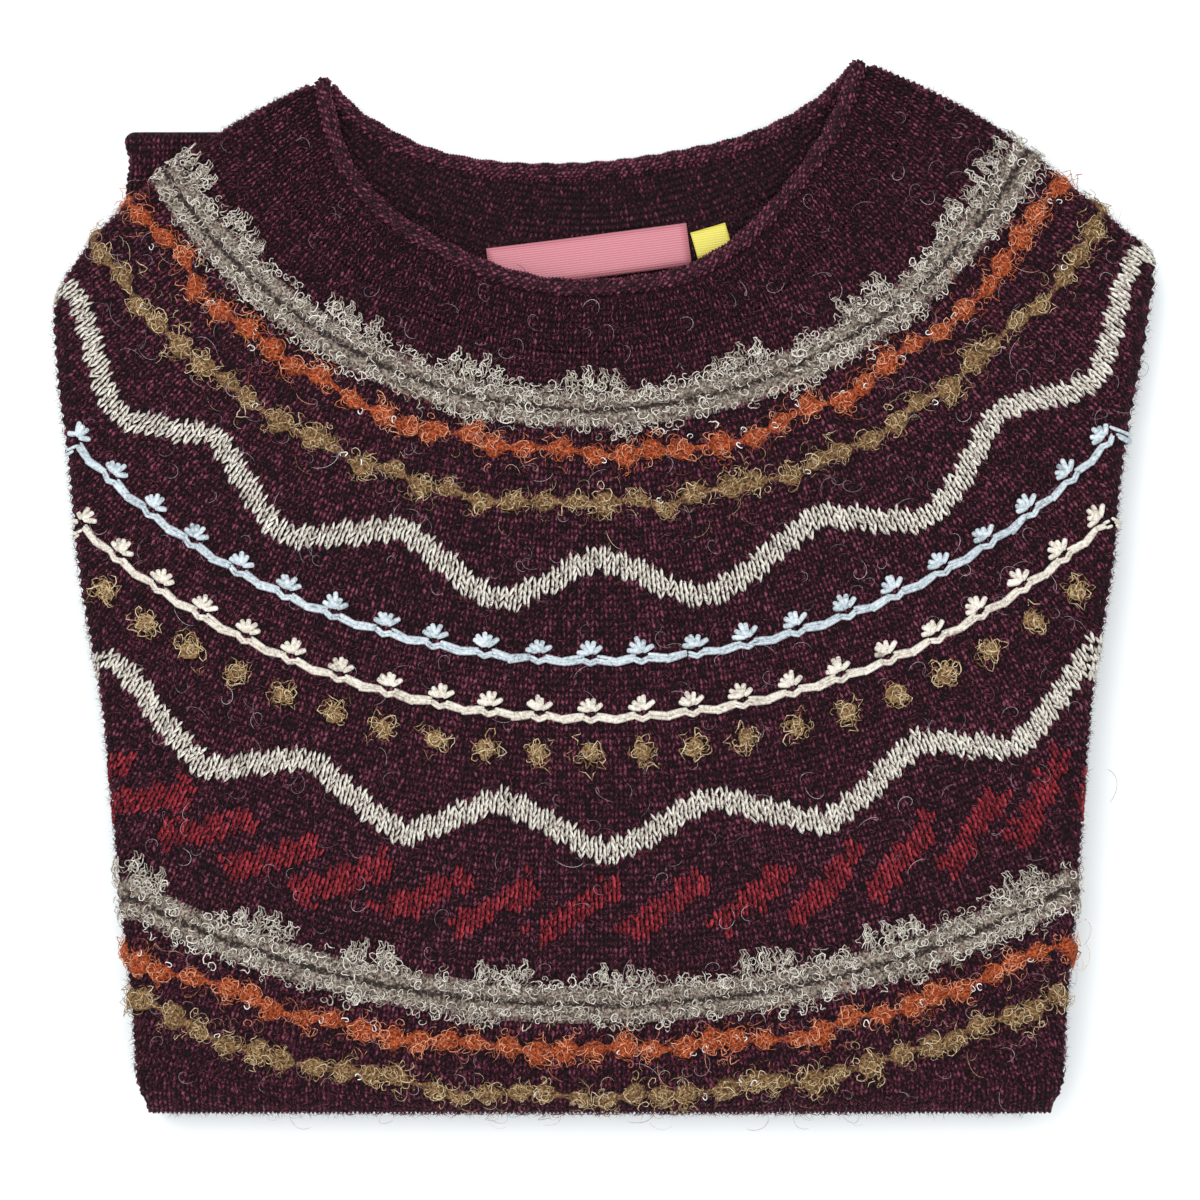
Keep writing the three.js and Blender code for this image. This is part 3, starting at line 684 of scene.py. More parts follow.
# %% The hem rib
hem_rows = [straight(y) for y in np.linspace(HEM_Y - HEM_RIB, HEM_Y, 10)]
hem_faces = [cloth_face(hem_rows, lift, under=True) for lift in (0.0, -WALL)]
points, faces = wall(hem_faces[0][0], hem_faces[1][0])
uv = np.concatenate([part[1].reshape(-1, 2) for part in hem_faces])
hem_rib = mesh_object("hem_rib", points, faces, wine_jersey, uv)
dress(hem_rib, "rib_knit", "hem_rib")

# %% [markdown]
# One knitted stitch is a V of two legs. A leg is modelled once, and thousands of copies, each
# with its own place and shade, make the fabric. The wine legs are low points of six triangles,
# which keeps the whole light, and they overlap so much that no more of them shows. The cream
# and red legs lie higher, so they are plump strands of twelve, shaped from a small sphere.

# %% One leg of a stitch
def read_shape(piece):
    """Takes a modelled shape out of the scene, as points in millimetres and triangles."""
    nothing_selected()
    bpy.context.view_layer.objects.active = piece
    piece.select_set(True)
    bpy.ops.object.transform_apply(location=True, rotation=True, scale=True)
    bpy.ops.object.mode_set(mode="EDIT")
    bpy.ops.mesh.select_all(action="SELECT")
    bpy.ops.mesh.remove_doubles(threshold=0.001 * MM)
    bpy.ops.mesh.normals_make_consistent(inside=False)
    bpy.ops.mesh.quads_convert_to_tris()
    bpy.ops.object.mode_set(mode="OBJECT")
    shape = (
        np.array([v.co[:] for v in piece.data.vertices]) / MM,
        np.array([face.vertices[:] for face in piece.data.polygons]),
    )
    bpy.ops.object.delete()
    return shape


def model_strand(segments, rings):
    """A plump strand along X, a millimetre long, wide and high."""
    nothing_selected()
    bpy.ops.mesh.primitive_uv_sphere_add(segments=segments, ring_count=rings, radius=1)
    strand = bpy.context.object
    strand.rotation_euler = (0, math.pi / 2, 0)
    bpy.ops.object.transform_apply(rotation=True)
    for vertex in strand.data.vertices:
        x, y, z = vertex.co
        plump = 1.0 if abs(x) > 0.99 else 0.55 / max(math.hypot(y, z), 0.01) + 0.45
        vertex.co = (x / 2 * MM, y * plump / 2 * MM, z * plump / 2 * MM)
    return read_shape(strand)


def model_point(sides, turn):
    """A low pyramid. On four sides it is a leg of yarn, and on three, lying down, a fibre."""
    nothing_selected()
    bpy.ops.mesh.primitive_cone_add(
        vertices=sides, radius1=0.5 * MM, radius2=0, depth=1.0 * MM, rotation=(0, turn, 0))
    return read_shape(bpy.context.object)


leg_shape = model_point(4, 0.0)
fibre_shape = model_point(3, math.pi / 2)
plump_leg_shape = model_strand(3, 3)
print("triangles in a leg, a plump leg and a fibre:",
      [len(shape[1]) for shape in (leg_shape, plump_leg_shape, fibre_shape)])


def scatter(name, shape, origins, along, across, out, material, shade, glow=0.0):
    """One mesh of many copies. The three ways carry the copies' length, width and height.

    A painted highlight makes a copy lighter towards its top, where yarn catches the light, and
    painted shade makes it darker towards its foot."""
    points, triangles = shape
    frames = np.stack([along, across, out], -2)
    placed = origins[:, None] + np.einsum("vi,kij->kvj", points, frames)
    steps = np.arange(len(origins))[:, None, None] * len(points)
    faces = (triangles[None] + steps).reshape(-1, 3)
    # Painted light: each copy is painted lighter at its top and darker at its foot.
    tone = np.asarray(shade)[:, None] + glow * points[None, :, 2]
    return mesh_object(name, placed.reshape(-1, 3), faces, material, shade=tone.ravel())

# %% [markdown]
# The knitting is laid out in zones. In a round yoke the wales fan out, and the knitter adds
# stitches between the bands, so each zone has its own count and a stitch stays near 3.25 by
# 2.4 mm. A stitch knows its ring and its angle, and a small chart then says its colour:
# cream where a zigzag runs, red in the slanting dashes, wine everywhere else. The charts give
# angles in degrees, counted round the yoke.

# %% The stitches' grid
STITCHED_CURL = 11.5  # cloth past the start of a side fold that still has stitches


def stitch_zone(upper, lower, rows, wale=WALE):
    """Ring, angle and course height of each stitch between two rows."""
    radii, angles = [], []
    middle = between(upper, lower, 0.5)
    step = wale / float(middle(0.0))
    for row in range(rows):
        radius_at = between(upper, lower, (row + 0.5) / rows)
        first, last = [fold_angle(radius_at, side, STITCHED_CURL) for side in (-1, 1)]
        angle = np.arange(math.ceil(first / step), math.floor(last / step) + 1) * step
        angles.append(angle)
        radii.append(radius_at(angle) * np.ones(len(angle)))
    return np.concatenate(radii), np.concatenate(angles), step


ZONES = [  # upper ring, lower ring, courses
    (178, 224, 19), (224, 277, 22), (277, 330, 22), (330, 394, 27), (394, 446, 22), (446, 496, 21),
]
ZIGZAGS = [  # angles of the peaks and of the valleys, their rings, how round the peaks are
    ((-53.0, -35.2, -16.9, 0.9, 20.4, 39.3, 57.3),
     (-62, -43.0, -26.0, -7.4, 9.5, 29.0, 46.9, 66), 239.8, 256.8, 0.6),
    ((-45.3, -31.8, -18.3, -5.6, 7.6, 21.5, 35.8),
     (-38.5, -24.1, -11.4, 1.2, 14.6, 26.9, 42), 330.2, 347.4, 0.35),
]
ZIGZAG_HALF = 3.9  # half of a zigzag's width, square to its slope
SLOPE_STEP = 0.004


def zigzag(angle, peaks, valleys, peak_radius, valley_radius, roundness):
    """Ring of a zigzag's middle line: round at its peaks and pointed in its valleys."""
    places = sorted([(a, 1.0) for a in peaks] + [(a, 0.0) for a in valleys])
    turns = np.interp(np.degrees(angle), [p[0] for p in places], [p[1] for p in places])
    rounded = turns * turns * (3 - 2 * turns)
    return mix(valley_radius, peak_radius, mix(turns, rounded, roundness))


def in_zigzags(radius, angle):
    """Whether a stitch is cream: within half a band's width of a zigzag, square to its slope."""
    cream = np.zeros(len(radius), bool)
    for chart in ZIGZAGS:
        middle, ahead = zigzag(angle, *chart), zigzag(angle + SLOPE_STEP, *chart)
        slope = (ahead - middle) / (SLOPE_STEP * middle)
        cream |= np.abs(radius - middle) < ZIGZAG_HALF * np.hypot(1, slope)
    return cream


DASH = {"middle": 369.0, "turn": math.radians(33), "reach": 18.0, "half": 4.2, "soft": 1.1}
DASHES = [-30.4, -26.5, -22.6, -18.5, -14.2, -9.5, -5.4, -0.6, 4.3, 9.2, 13.8, 18.1, 22.5, 26.7, 31]


def in_dashes(radius, angle):
    """Slanting bars that rise to the right, brushed so that their edges are soft."""
    c, s = math.cos(DASH["turn"]), math.sin(DASH["turn"])
    rise = DASH["middle"] - radius
    inside = np.zeros(len(radius), bool)
    edge = dice.normal(0, DASH["soft"], len(radius))
    for dash in np.radians(DASHES):
        off = (angle - dash) * DASH["middle"]
        along, aside = off * c + rise * s, rise * c - off * s
        inside |= (np.abs(along) < DASH["reach"] + edge) & (np.abs(aside) < DASH["half"] + edge)
    return inside


LAST_TURN = math.radians(135)  # how far round the bottom fold there are stitches
BOTTOM_CORNERS = (-0.36, 0.37)
CORNER_CLEAR = {"side": 3, "fold": 2.5}  # both folds meet past these, where no stitch fits
LEAST_AREA = 0.75  # of a stitch whose two ways are nearly square

stitches = []
for upper, lower, rows in ZONES:
    radii, angles, step = stitch_zone(ring(upper), ring(lower), rows)
    stitches.append((radii, angles, np.full(len(radii), step)))
stitches = np.stack(joined(stitches), -1)
bottom = YOKE_Y - stitches[:, 0] * np.cos(np.clip(stitches[:, 1], *BOTTOM_CORNERS))
stitches = stitches[bottom > FOLD_INNER - FOLD_ARC * LAST_TURN]
ends = [side_values(held(*stitches[:, :2].T), side)[0] for side in (-1, 1)]
past_side = np.maximum(ends[0] - stitches[:, 1], stitches[:, 1] - ends[1]) * stitches[:, 0]
past_fold = FOLD_INNER - (YOKE_Y - stitches[:, 0] * np.cos(stitches[:, 1]))
corner = (past_side > CORNER_CLEAR["side"]) & (past_fold > CORNER_CLEAR["fold"])
stitches = stitches[~corner & (past_side < STITCHED_CURL + 0.1)]
_, down, across, _ = frame_on(place, stitches[:, 0], stitches[:, 1])
stitches = stitches[np.linalg.norm(np.cross(down, across), axis=-1) > LEAST_AREA]
cream = in_zigzags(stitches[:, 0], stitches[:, 1])
red = in_dashes(stitches[:, 0], stitches[:, 1]) & ~cream
print("stitches:", len(stitches), "cream:", int(cream.sum()), "red:", int(red.sum()))

# %% [markdown]
# Each leg leans out from the middle of its wale, overlaps the course below and rides a little
# high. Small random turns, lengths and shades keep it from looking printed.

# %% The stitches on the front
LEG_ASIDE = 0.245  # of a wale, from its middle to the middle of a leg
LEAN_SPREAD = 0.14  # radians
UNEVEN = {"aside": 0.03, "down": 0.24, "length": 0.07, "width": 0.08}
RISE, RISE_SPREAD = 0.06, 0.04  # how far a leg's high point leans up its length


def knit(name, surface, radius, angle, step, material, slot, size=(4.5, 2.0, 1.3), lean=0.21,
         lift=0.4, bright=0.01, contrast=0.085, steps=None, turned=False, shape=leg_shape):
    """Both legs of each stitch, as one piece. A turned surface has its face the other way."""
    parts = []
    for side in (-1, 1):
        count = len(radius)
        aside = dice.normal(0, np.mean(step) * UNEVEN["aside"], count)
        turn = angle + side * step * LEG_ASIDE + aside
        ring_at = radius + dice.normal(0, UNEVEN["down"], count)
        spot, down, across, out = frame_on(surface, ring_at, turn, lift, steps)
        if turned:
            across, out = -across, -out
        tilt = side * lean + dice.normal(0, LEAN_SPREAD, count)
        up = unit(-down * np.cos(tilt)[:, None] + across * np.sin(tilt)[:, None])
        sideways = unit(np.cross(out, up))
        length = size[0] * (1 + dice.normal(0, UNEVEN["length"], count))
        width = size[1] * (1 + dice.normal(0, UNEVEN["width"], count))
        shade = bright + dice.normal(0, contrast, count)
        rise = out + up * dice.normal(RISE, RISE_SPREAD, count)[:, None]
        parts.append((spot, up * length[:, None], sideways * width[:, None],
                      unit(rise) * size[2], shade))
    *columns, shade = joined(parts)
    # Each leg is painted lighter at its top and darker at its foot: painted highlight and shade.
    return dress(scatter(name, shape, *columns, material, shade, glow=0.28), slot)


wine = ~(cream | red)
for name, near, far in (("wine_stitches_yoke", 0, 271), ("wine_stitches_chest", 271, 362),
                        ("wine_stitches_body", 362, 600)):
    chosen = wine & (stitches[:, 0] >= near) & (stitches[:, 0] < far)
    radius, angle, step = stitches[chosen].T
    knit(name, place, radius, angle, step, wine_wool, "wine_knit")
radius, angle, step = stitches[cream].T
knit("cream_zigzag_stitches", place, radius, angle, step, cream_wool, "cream_yarn",
     size=(4.4, 1.45, 1.5), lean=0.25, lift=0.75, contrast=0.06, shape=plump_leg_shape)
radius, angle, step = stitches[red].T
knit("red_dash_stitches", place, radius, angle, step, red_wool, "red_yarn",
     size=(4.0, 1.75, 1.4), lift=0.6, contrast=0.06, shape=plump_leg_shape)

# %% [markdown]
# The neck is ribbed: each knit wale stands up between two purl ones that sink back, which the
# eye reads as fine dark grooves. The band is a strip of cloth of its own, with narrower and
# prouder wales. Its stitches run on down to the first curly band, in short rows at the sides.

# %% The neck band in front
NECK_BAND = (2.6, 23.7)  # from the neck's edge to the band's two edges
RIB_WALE = 3.1

points, faces, uv = both_faces([below_neck(d) for d in np.linspace(*NECK_BAND, 8)])
neck_band_front = mesh_object("neck_band_front", points, faces, wine_jersey, uv)
dress(neck_band_front, "rib_knit", "neck_band_front")

band_radii, band_angles, band_step = stitch_zone(below_neck(4.3), below_neck(24.4), 9, RIB_WALE)
knit("neck_band_stitches", place, band_radii, band_angles, band_step, wine_wool, "rib_knit",
     size=(4.3, 1.6, 1.8), lean=0.14, lift=0.55, bright=-0.01)
yoke_radii, yoke_angles, _ = stitch_zone(ring(124), ring(178), 23, RIB_WALE)
yoke_angles = np.round(yoke_angles / band_step) * band_step
below = yoke_radii > neck_front(yoke_angles) + NECK_BAND[1] - SEAM
yoke = np.unique(np.stack([yoke_radii[below], yoke_angles[below]], -1).round(6), axis=0)
knit("yoke_rib_stitches", place, yoke[:, 0], yoke[:, 1], band_step, wine_wool, "rib_knit",
     size=(4.3, 1.75, 1.7), lean=0.15, lift=0.5)

# %% [markdown]
# The edge of the neck is left unhemmed, and jersey curls by itself, so it rolls into a cord
# about six millimetres thick. It is a tube along the neck line with soft ends, and the purl
# bumps that a rolled edge shows are short strands laid along it.

# %% The rolled neck edges
ROLL = 2.9  # radius of the cord that the edge makes
ROLL_SIDES = 12
ROLL_RING, TIP_RING = 128, 114  # the edge's ring, in the middle and at the neck's two tips
NECK_ENDS = np.radians((-58.6, 61.4))
BRICK_STEP = 0.01  # radians by which every other row of bumps is shifted
BUMP = {"length": 4.0, "width": 1.9, "height": 1.5, "apart": 2.5, "row": 26.0, "lean": 0.42}


def roll_point(radius_at, depth):
    """A surface round a rolled edge, from a turn round it and an angle along it."""
    def at(turn, angle, lift=0.0):
        turn, angle = np.broadcast_arrays(turn, angle)
        radius = radius_at(angle)
        middle, down, _, out = frame_on(place, radius, angle, -depth)
        ends = np.minimum(angle - NECK_ENDS[0], NECK_ENDS[1] - angle) * TIP_RING
        thick = (ROLL + 0.25 * np.sin(angle * 61)) * np.clip(ends / 3.0 + 0.4, 0.3, 1) + lift
        return (middle + down * (np.cos(turn) * thick)[..., None]
                + out * (np.sin(turn) * thick)[..., None])
    return at


def make_roll(name, radius_at, depth, node):
    surface = roll_point(radius_at, depth)
    angles = np.linspace(*NECK_ENDS, 121)
    turns = np.linspace(0, 2 * math.pi, ROLL_SIDES + 1)[:-1]
    grid = surface(turns[None, :], angles[:, None])
    at = np.arange(len(angles) * ROLL_SIDES).reshape(-1, ROLL_SIDES)
    a, b = at[:-1], at[1:]
    sides = np.stack([a, b, np.roll(b, -1, 1), np.roll(a, -1, 1)], -1).reshape(-1, 4)
    ends = [[loop[k], loop[k + 1], loop[-k - 2], loop[-k - 1]]
            for loop in (at[0], at[-1][::-1]) for k in range(ROLL_SIDES // 2 - 1)]
    roll = mesh_object(name, grid.reshape(-1, 3), np.concatenate([sides, ends]), wine_wool)
    dress(roll, "rib_knit", node)
    rows = np.radians(np.arange(-50, 236, BUMP["row"]))
    along = np.arange(NECK_ENDS[0] + 0.012, NECK_ENDS[1] - 0.012, BUMP["apart"] / ROLL_RING)
    turn, angle = [part.ravel() for part in np.meshgrid(rows, along)]
    angle = angle + (np.round(turn / 0.45) % 2) * BRICK_STEP
    count = len(turn)
    turn = turn + dice.normal(0, 0.06, count)
    spot = surface(turn, angle, 0.25)
    out = unit(surface(turn, angle, 1.0) - surface(turn, angle, 0.0))
    run = unit(surface(turn, angle + 0.01) - surface(turn, angle - 0.01))
    tilt = BUMP["lean"] + dice.normal(0, 0.16, count)
    run = unit(run * np.cos(tilt)[:, None] + np.cross(out, run) * np.sin(tilt)[:, None])
    side = unit(np.cross(out, run))
    # The bumps are painted lighter at their tops and darker at their feet: painted highlight and
    # shade.
    bumps = scatter(name + "_stitches", leg_shape, spot, run * BUMP["length"],
                    side * BUMP["width"], out * BUMP["height"], wine_wool,
                    0.06 + dice.normal(0, 0.08, count), glow=0.3)
    dress(bumps, "rib_knit")
    return roll


neck_roll_front = make_roll("neck_roll_front", neck_front, 0.7, "neck_roll_front")
neck_roll_back = make_roll("neck_roll_back", neck_back, 7.1, "neck_roll_back")

# %% [markdown]
# Through the neck one looks at the inside of the back: its band first, then plain cloth that
# goes down under the front. Light hardly reaches it, so it has the darker inside wool.

# %% The inside of the back
BACK_RING = 150  # where the inside's wales have their true width
BACK_WALE, BACK_COURSE = 3.6, 2.6  # seen from the purl side, stretched a little


def below_back(distance):
    return lambda angle: neck_back(angle) + distance


def inside_cloth(rows, left, right):
    angles = np.linspace(math.radians(left), math.radians(right), 81)
    faces = []
    for depth in (BACK_DEPTH, BACK_DEPTH + WALL):
        faces.append(np.array([place(row(angles), angles, -depth) for row in rows]))
    uv = np.array([np.stack([angles * BACK_RING / WALE, row(angles) / COURSE], -1)
                   for row in rows])
    points, quads = wall(*faces)
    return points, quads, np.concatenate([uv.reshape(-1, 2)] * 2)


def band_foot(angle):
    """The back band's lower edge: 24 mm below the neck, or just under the front's edge."""
    return np.minimum(neck_back(angle) + 24, neck_front(angle) + 14)


def back_top(angle):
    return band_foot(angle) + SEAM


def back_foot(angle):
    """As far down as the back is tucked under the front."""
    return np.maximum(neck_front(angle) + 14, band_foot(angle) + 8)


def make_inside(name, upper, lower, rows, left, right):
    strips = [between(upper, lower, share) for share in np.linspace(0, 1, rows)]
    points, faces, uv = inside_cloth(strips, left, right)
    return dress(mesh_object(name, points, faces, purl_jersey, uv), "inside_knit", name)


neck_band_back = make_inside("neck_band_back", below_back(1.6), band_foot, 8, -52, 54)
back = make_inside("back", back_top, back_foot, 6, -38, 38)

inner_step = BACK_WALE / 112
inner = []
for row in range(18):
    angle = np.arange(-28, 30) * inner_step
    radius = neck_back(angle) + 3.4 + row * BACK_COURSE
    seen = (radius < neck_front(angle) + 6) & (angle > -0.92) & (angle < 0.96)
    inner.append((radius[seen], angle[seen]))


def inside_place(radius, angle, lift=0.0):
    return place(radius, angle, lift - BACK_DEPTH)


knit("inside_stitches", inside_place, *joined(inner), inner_step, wine_wool_painted_shade,
     "inside_knit", size=(4.0, 1.9, 1.5), lean=0.28, lift=0.45)

# %% [markdown]
# The sleeves are folded flat behind the shoulders. Each is a flattened tube, so the cloth goes
# round its outer edge and comes back underneath. A corner of the left one shows.

# %% The sleeves
SLEEVE = {"thickness": 4.8, "wall": 2.1, "inner": 105.0, "bottom": 21.0, "outer": 178.6}
SLEEVE_WALE = 3.4


def sleeve_surface(side, top):
    """A surface round a sleeve, from y and a length of cloth from its inner edge outwards.

    Its outer edge waves a little, flares below its upper end and is rounded at its corner."""
    roll = SLEEVE["thickness"] / 2

    def at(y, along, lift=0.0):
        wave = 1.1 * np.sin((top - y) / 6) * smooth(y, 120, 150)
        corner = 1 - np.sqrt(1 - np.clip((y - top + 3.5) / 3.5, 0, 1) ** 2)
        flare = 2.0 * np.exp(-(((top - y - 4.0) / 4.0) ** 2)) - 3.0 * corner
        centre = SLEEVE["outer"] - roll - wave + flare
        flat = centre - SLEEVE["inner"]
        turn = np.clip((along - flat) / roll, 0, math.pi)
        back = np.maximum(along - flat - math.pi * roll, 0)
        x = np.minimum(SLEEVE["inner"] + along, centre) + (roll + lift) * np.sin(turn) - back
        pinch = np.sqrt(np.clip(1 - np.clip((y - top + 2.4) / 2.45, 0, 1) ** 2, 0.01, 1))
        z = roll + (roll + lift) * np.cos(turn) * pinch
        return np.stack([side * x, y + x * 0, z], -1)
    return at, SLEEVE["outer"] - roll - SLEEVE["inner"], roll


def make_sleeve(name, side, top, stitched_from):
    surface, flat, roll = sleeve_surface(side, top)
    round_edge = math.pi * roll
    ys = np.concatenate([top - np.array([0, 0.1, 0.4, 0.8, 1.4, 2.4]),
                         np.linspace(top - 4, SLEEVE["bottom"], 40)])
    along = np.concatenate([
        np.linspace(0, flat, 20), flat + np.linspace(0, 1, 9)[1:] * round_edge,
        flat + round_edge + np.linspace(0, flat, 20)[1:],
    ])
    outer, inner = [surface(ys[:, None], along[None, :], lift)
                    for lift in (0.0, -SLEEVE["wall"])]
    if side < 0:
        outer, inner = outer[:, ::-1], inner[:, ::-1]
    uv = np.stack(np.broadcast_arrays(along[None, :] / WALE, ys[:, None] / COURSE), -1)
    points, faces = wall(outer, inner)
    piece = mesh_object(name, points, faces, wine_jersey,
                        np.concatenate([uv.reshape(-1, 2)] * 2))
    dress(piece, "wine_knit", name)
    rows = np.arange(top - 3.6, SLEEVE["bottom"] + 1, -COURSE)
    wales = np.arange(stitched_from, flat + 2.0 * roll, SLEEVE_WALE)
    y, along = [part.ravel() for part in np.meshgrid(rows, wales)]
    knit(name + "_stitches", lambda a, b, lift=0.0: surface(-a, b, lift), -y, along, SLEEVE_WALE,
         wine_wool, "wine_knit", lift=0.3, steps=(0.6, 0.6), turned=side < 0)
    return piece


left_sleeve = make_sleeve("left_sleeve", -1, 169.5, 22.0)
right_sleeve = make_sleeve("right_sleeve", 1, 136.0, 54.0)

# %% [markdown]
# What lies between the folds is the rest of the jumper, and only its edges show at the sides.
# The solid's own shape is right, so a copy of it is merged, given more faces and rounded by
# smooth shading, and the wine wool painted darker, as painted shade, goes on it, as on the inside.

# %% The folded layers inside
nothing_selected()
core = bpy.data.objects["folded_layers"].copy()
core.data = core.data.copy()
core.parent = None
core.name = "layers_between_the_folds"
for key in list(core.keys()):
    del core[key]
bpy.context.collection.objects.link(core)
core.hide_render = core.hide_viewport = False
bpy.context.view_layer.objects.active = core
core.select_set(True)
bpy.ops.object.mode_set(mode="EDIT")
bpy.ops.mesh.select_all(action="SELECT")
bpy.ops.mesh.remove_doubles(threshold=0.01 * MM)
bpy.ops.mesh.subdivide(number_cuts=1)
bpy.ops.object.mode_set(mode="OBJECT")
core.data.materials.clear()
# The same wine wool painted darker: painted shade, as inside the garment.
core.data.materials.append(wine_wool_painted_shade)
core.data.attributes.new("shade", "FLOAT", "POINT")
core.data.shade_smooth()
dress(core, "inside_knit", "folded_layers")

# %% [markdown]
# Curly yarn is boucle: a thin strand that buckles into loops as it is spun. A curl is modelled
# as a path with a round section and made a mesh. Six curls differ in how far they turn, and
# hundreds of copies, each turned at random, read as one long looped yarn.

# %% Curls of yarn
def yarn_section():
    """Three points round a unit circle, the section that a path of yarn carries along."""
    section = bpy.data.curves.new("yarn_section", "CURVE")
    spline = section.splines.new("POLY")
    spline.points.add(2)
    for number, point in enumerate(spline.points):
        turn = 2 * math.pi * number / 3
        point.co = (math.cos(turn), math.sin(turn), 0, 1)
    spline.use_cyclic_u = True
    return bpy.data.objects.new("yarn_section", section)


def model_path(points, thick):
    """A strand of yarn along points in millimetres, as a shape to copy."""
    nothing_selected()
    bpy.ops.curve.primitive_nurbs_path_add()
    path = bpy.context.object
    spline = path.data.splines[0]
    spline.type = "POLY"
    spline.points.add(len(points) - len(spline.points))
    for at, point in enumerate(spline.points):
        point.co = (*(value * MM for value in points[at]), 1)
        point.radius = thick * MM * (0.5 if at in (0, len(points) - 1) else 1.0)
    section = yarn_section()
    path.data.bevel_mode = "OBJECT"
    path.data.bevel_object = section
    path.data.use_fill_caps = True
    bpy.ops.object.convert(target="MESH")
    bpy.data.objects.remove(section)
    return read_shape(path)


def model_curl(turns, radius, reach, rise, thick, count=8, uneven=0.22):
    """A strand that runs along X while it curls, lying nearly flat."""
    points = []
    for t in np.linspace(0, 1, count):
        turn = 2 * math.pi * turns * t + 0.4
        wide = radius * (1 + uneven * math.sin(t * 11 + turns * 5))
        points.append((reach * (t - 0.5) + wide * math.cos(turn), wide * math.sin(turn),
                       rise * math.sin(math.pi * t) + uneven * math.sin(t * 9)))
    return model_path(points, thick)


# A row is a curl's turns, radius, reach, rise, the yarn's radius, points and unevenness.
CURLS = [model_curl(*values) for values in (
    (0.85, 1.6, 0.8, 1.2, 0.22), (1.2, 1.3, 1.6, 1.0, 0.22, 9), (0.6, 2.1, 1.8, 0.9, 0.23),
    (1.5, 1.1, 2.8, 1.3, 0.21, 10), (0.35, 3.4, 2.6, 0.8, 0.22, 7), (0.4, 2.8, 2.8, 1.1, 0.22, 7),
)]
FINE_CURLS = [model_curl(*values) for values in (
    (0.9, 1.5, 1.4, 1.2, 0.14, 8), (0.5, 2.4, 1.8, 1.0, 0.14, 7), (0.3, 3.6, 2.4, 1.2, 0.12, 6),
    (1.2, 1.1, 1.8, 1.3, 0.14, 9),
)]
HAIRS = [model_curl(*values) for values in (
    (0.42, 4.6, 4.0, 1.2, 0.065, 11, 0.0), (0.75, 2.8, 3.0, 1.1, 0.065, 12, 0.0),
    (0.28, 7.5, 6.0, 1.4, 0.065, 11, 0.0), (0.55, 3.4, 9.0, 1.0, 0.065, 12, 0.0),
    (0.2, 13.0, 7.0, 1.1, 0.065, 10, 0.0),
)]
print("a curl has", [len(shape[1]) for shape in CURLS], "triangles")


def join_pieces(name, parts):
    nothing_selected()
    for part in parts:
        part.select_set(True)
    bpy.context.view_layer.objects.active = parts[0]
    bpy.ops.object.join()
    joined = bpy.context.object
    joined.name = name
    return joined


def strew(name, shapes, radius, angle, lift, size, material, shade, tilt=0.35):
    """Copies of curls on the cloth, each turned at random and a little tilted."""
    kind = dice.integers(0, len(shapes), len(radius))
    parts = []
    for number, shape in enumerate(shapes):
        chosen = kind == number
        count = int(chosen.sum())
        if not count:
            continue
        spot, down, across, out = frame_on(place, radius[chosen], angle[chosen], lift[chosen])
        spin = dice.uniform(0, 2 * math.pi, count)
        along = down * np.cos(spin)[:, None] + across * np.sin(spin)[:, None]
        along = unit(along + out * dice.normal(0, tilt, count)[:, None])
        side = unit(np.cross(out, along) + out * dice.normal(0, tilt, count)[:, None])
        side = unit(side - along * np.sum(side * along, -1, keepdims=True))
        up = np.cross(along, side)
        scale = size[chosen][:, None]
        # Each curl is painted lighter where it rises and darker where it lies low: painted
        # highlight and shade.
        parts.append(scatter(name + str(number), shape, spot, along * scale, side * scale,
                             up * scale, material, shade[chosen], glow=0.07))
    return join_pieces(name, parts)


def lay_strands(radius, angle, turn, length, width, height, lift):
    """Frames of strands that lie on the cloth, each turned from the way across it.

    A measure is one value for all the strands, or one for each."""
    turn, length, width, height = [np.reshape(value, (-1, 1))
                                   for value in (turn, length, width, height)]
    spot, down, across, out = frame_on(place, radius, angle, lift)
    along = across * np.cos(turn) - down * np.sin(turn)
    side = unit(np.cross(out, along))
    return spot, along * length, side * width, out * height


def fold_range(radius, beyond=9.0):
    row = ring(radius)
    return fold_angle(row, -1, beyond), fold_angle(row, 1, beyond)


# %% [markdown]
# The two grey bands are the boldest: curls in two lanes with a seam between them, over a
# padded base, and crowns of standing loops on the side of the neck. Where the crowns stand is
# charted in degrees, from the look of the real one.

# %% The grey curly bands
HAIRPIN = model_path([
    (-4.2 + 8.6 * math.sin(math.pi * t) + 0.5 * math.sin(t * 34),
     1.2 * math.cos(math.pi * t) + 0.5 * math.cos(t * 31), 0.8 * math.sin(math.pi * t))
    for t in np.linspace(0, 1, 16)
], 0.22)
CROWNS = {
    "upper": (-57, -46.8, -30, -14, 0.5, 18, 35, 50.5, 58),
    "lower": (-25, -17.7, -11.8, -4.8, 1.8, 9.6, 16.4, 23.5),
}


GREY_HALF = 8.6  # half of a grey band's width
PAD_ANGLES, PAD_SHARES = 220, 9
# Painted shade on the pad: darker under the curls, darkest where the lanes part.
PAD_PAINTED_SHADE, GAP_PAINTED_SHADE, SEAM_WIDTH = -0.15, 0.2, 0.14  # shades, and a share of the pad's half width
FINGERS, FINGER_STEP, FINGER_CURLS = 4, 5.6, 9  # standing loops in a crown, and their curls


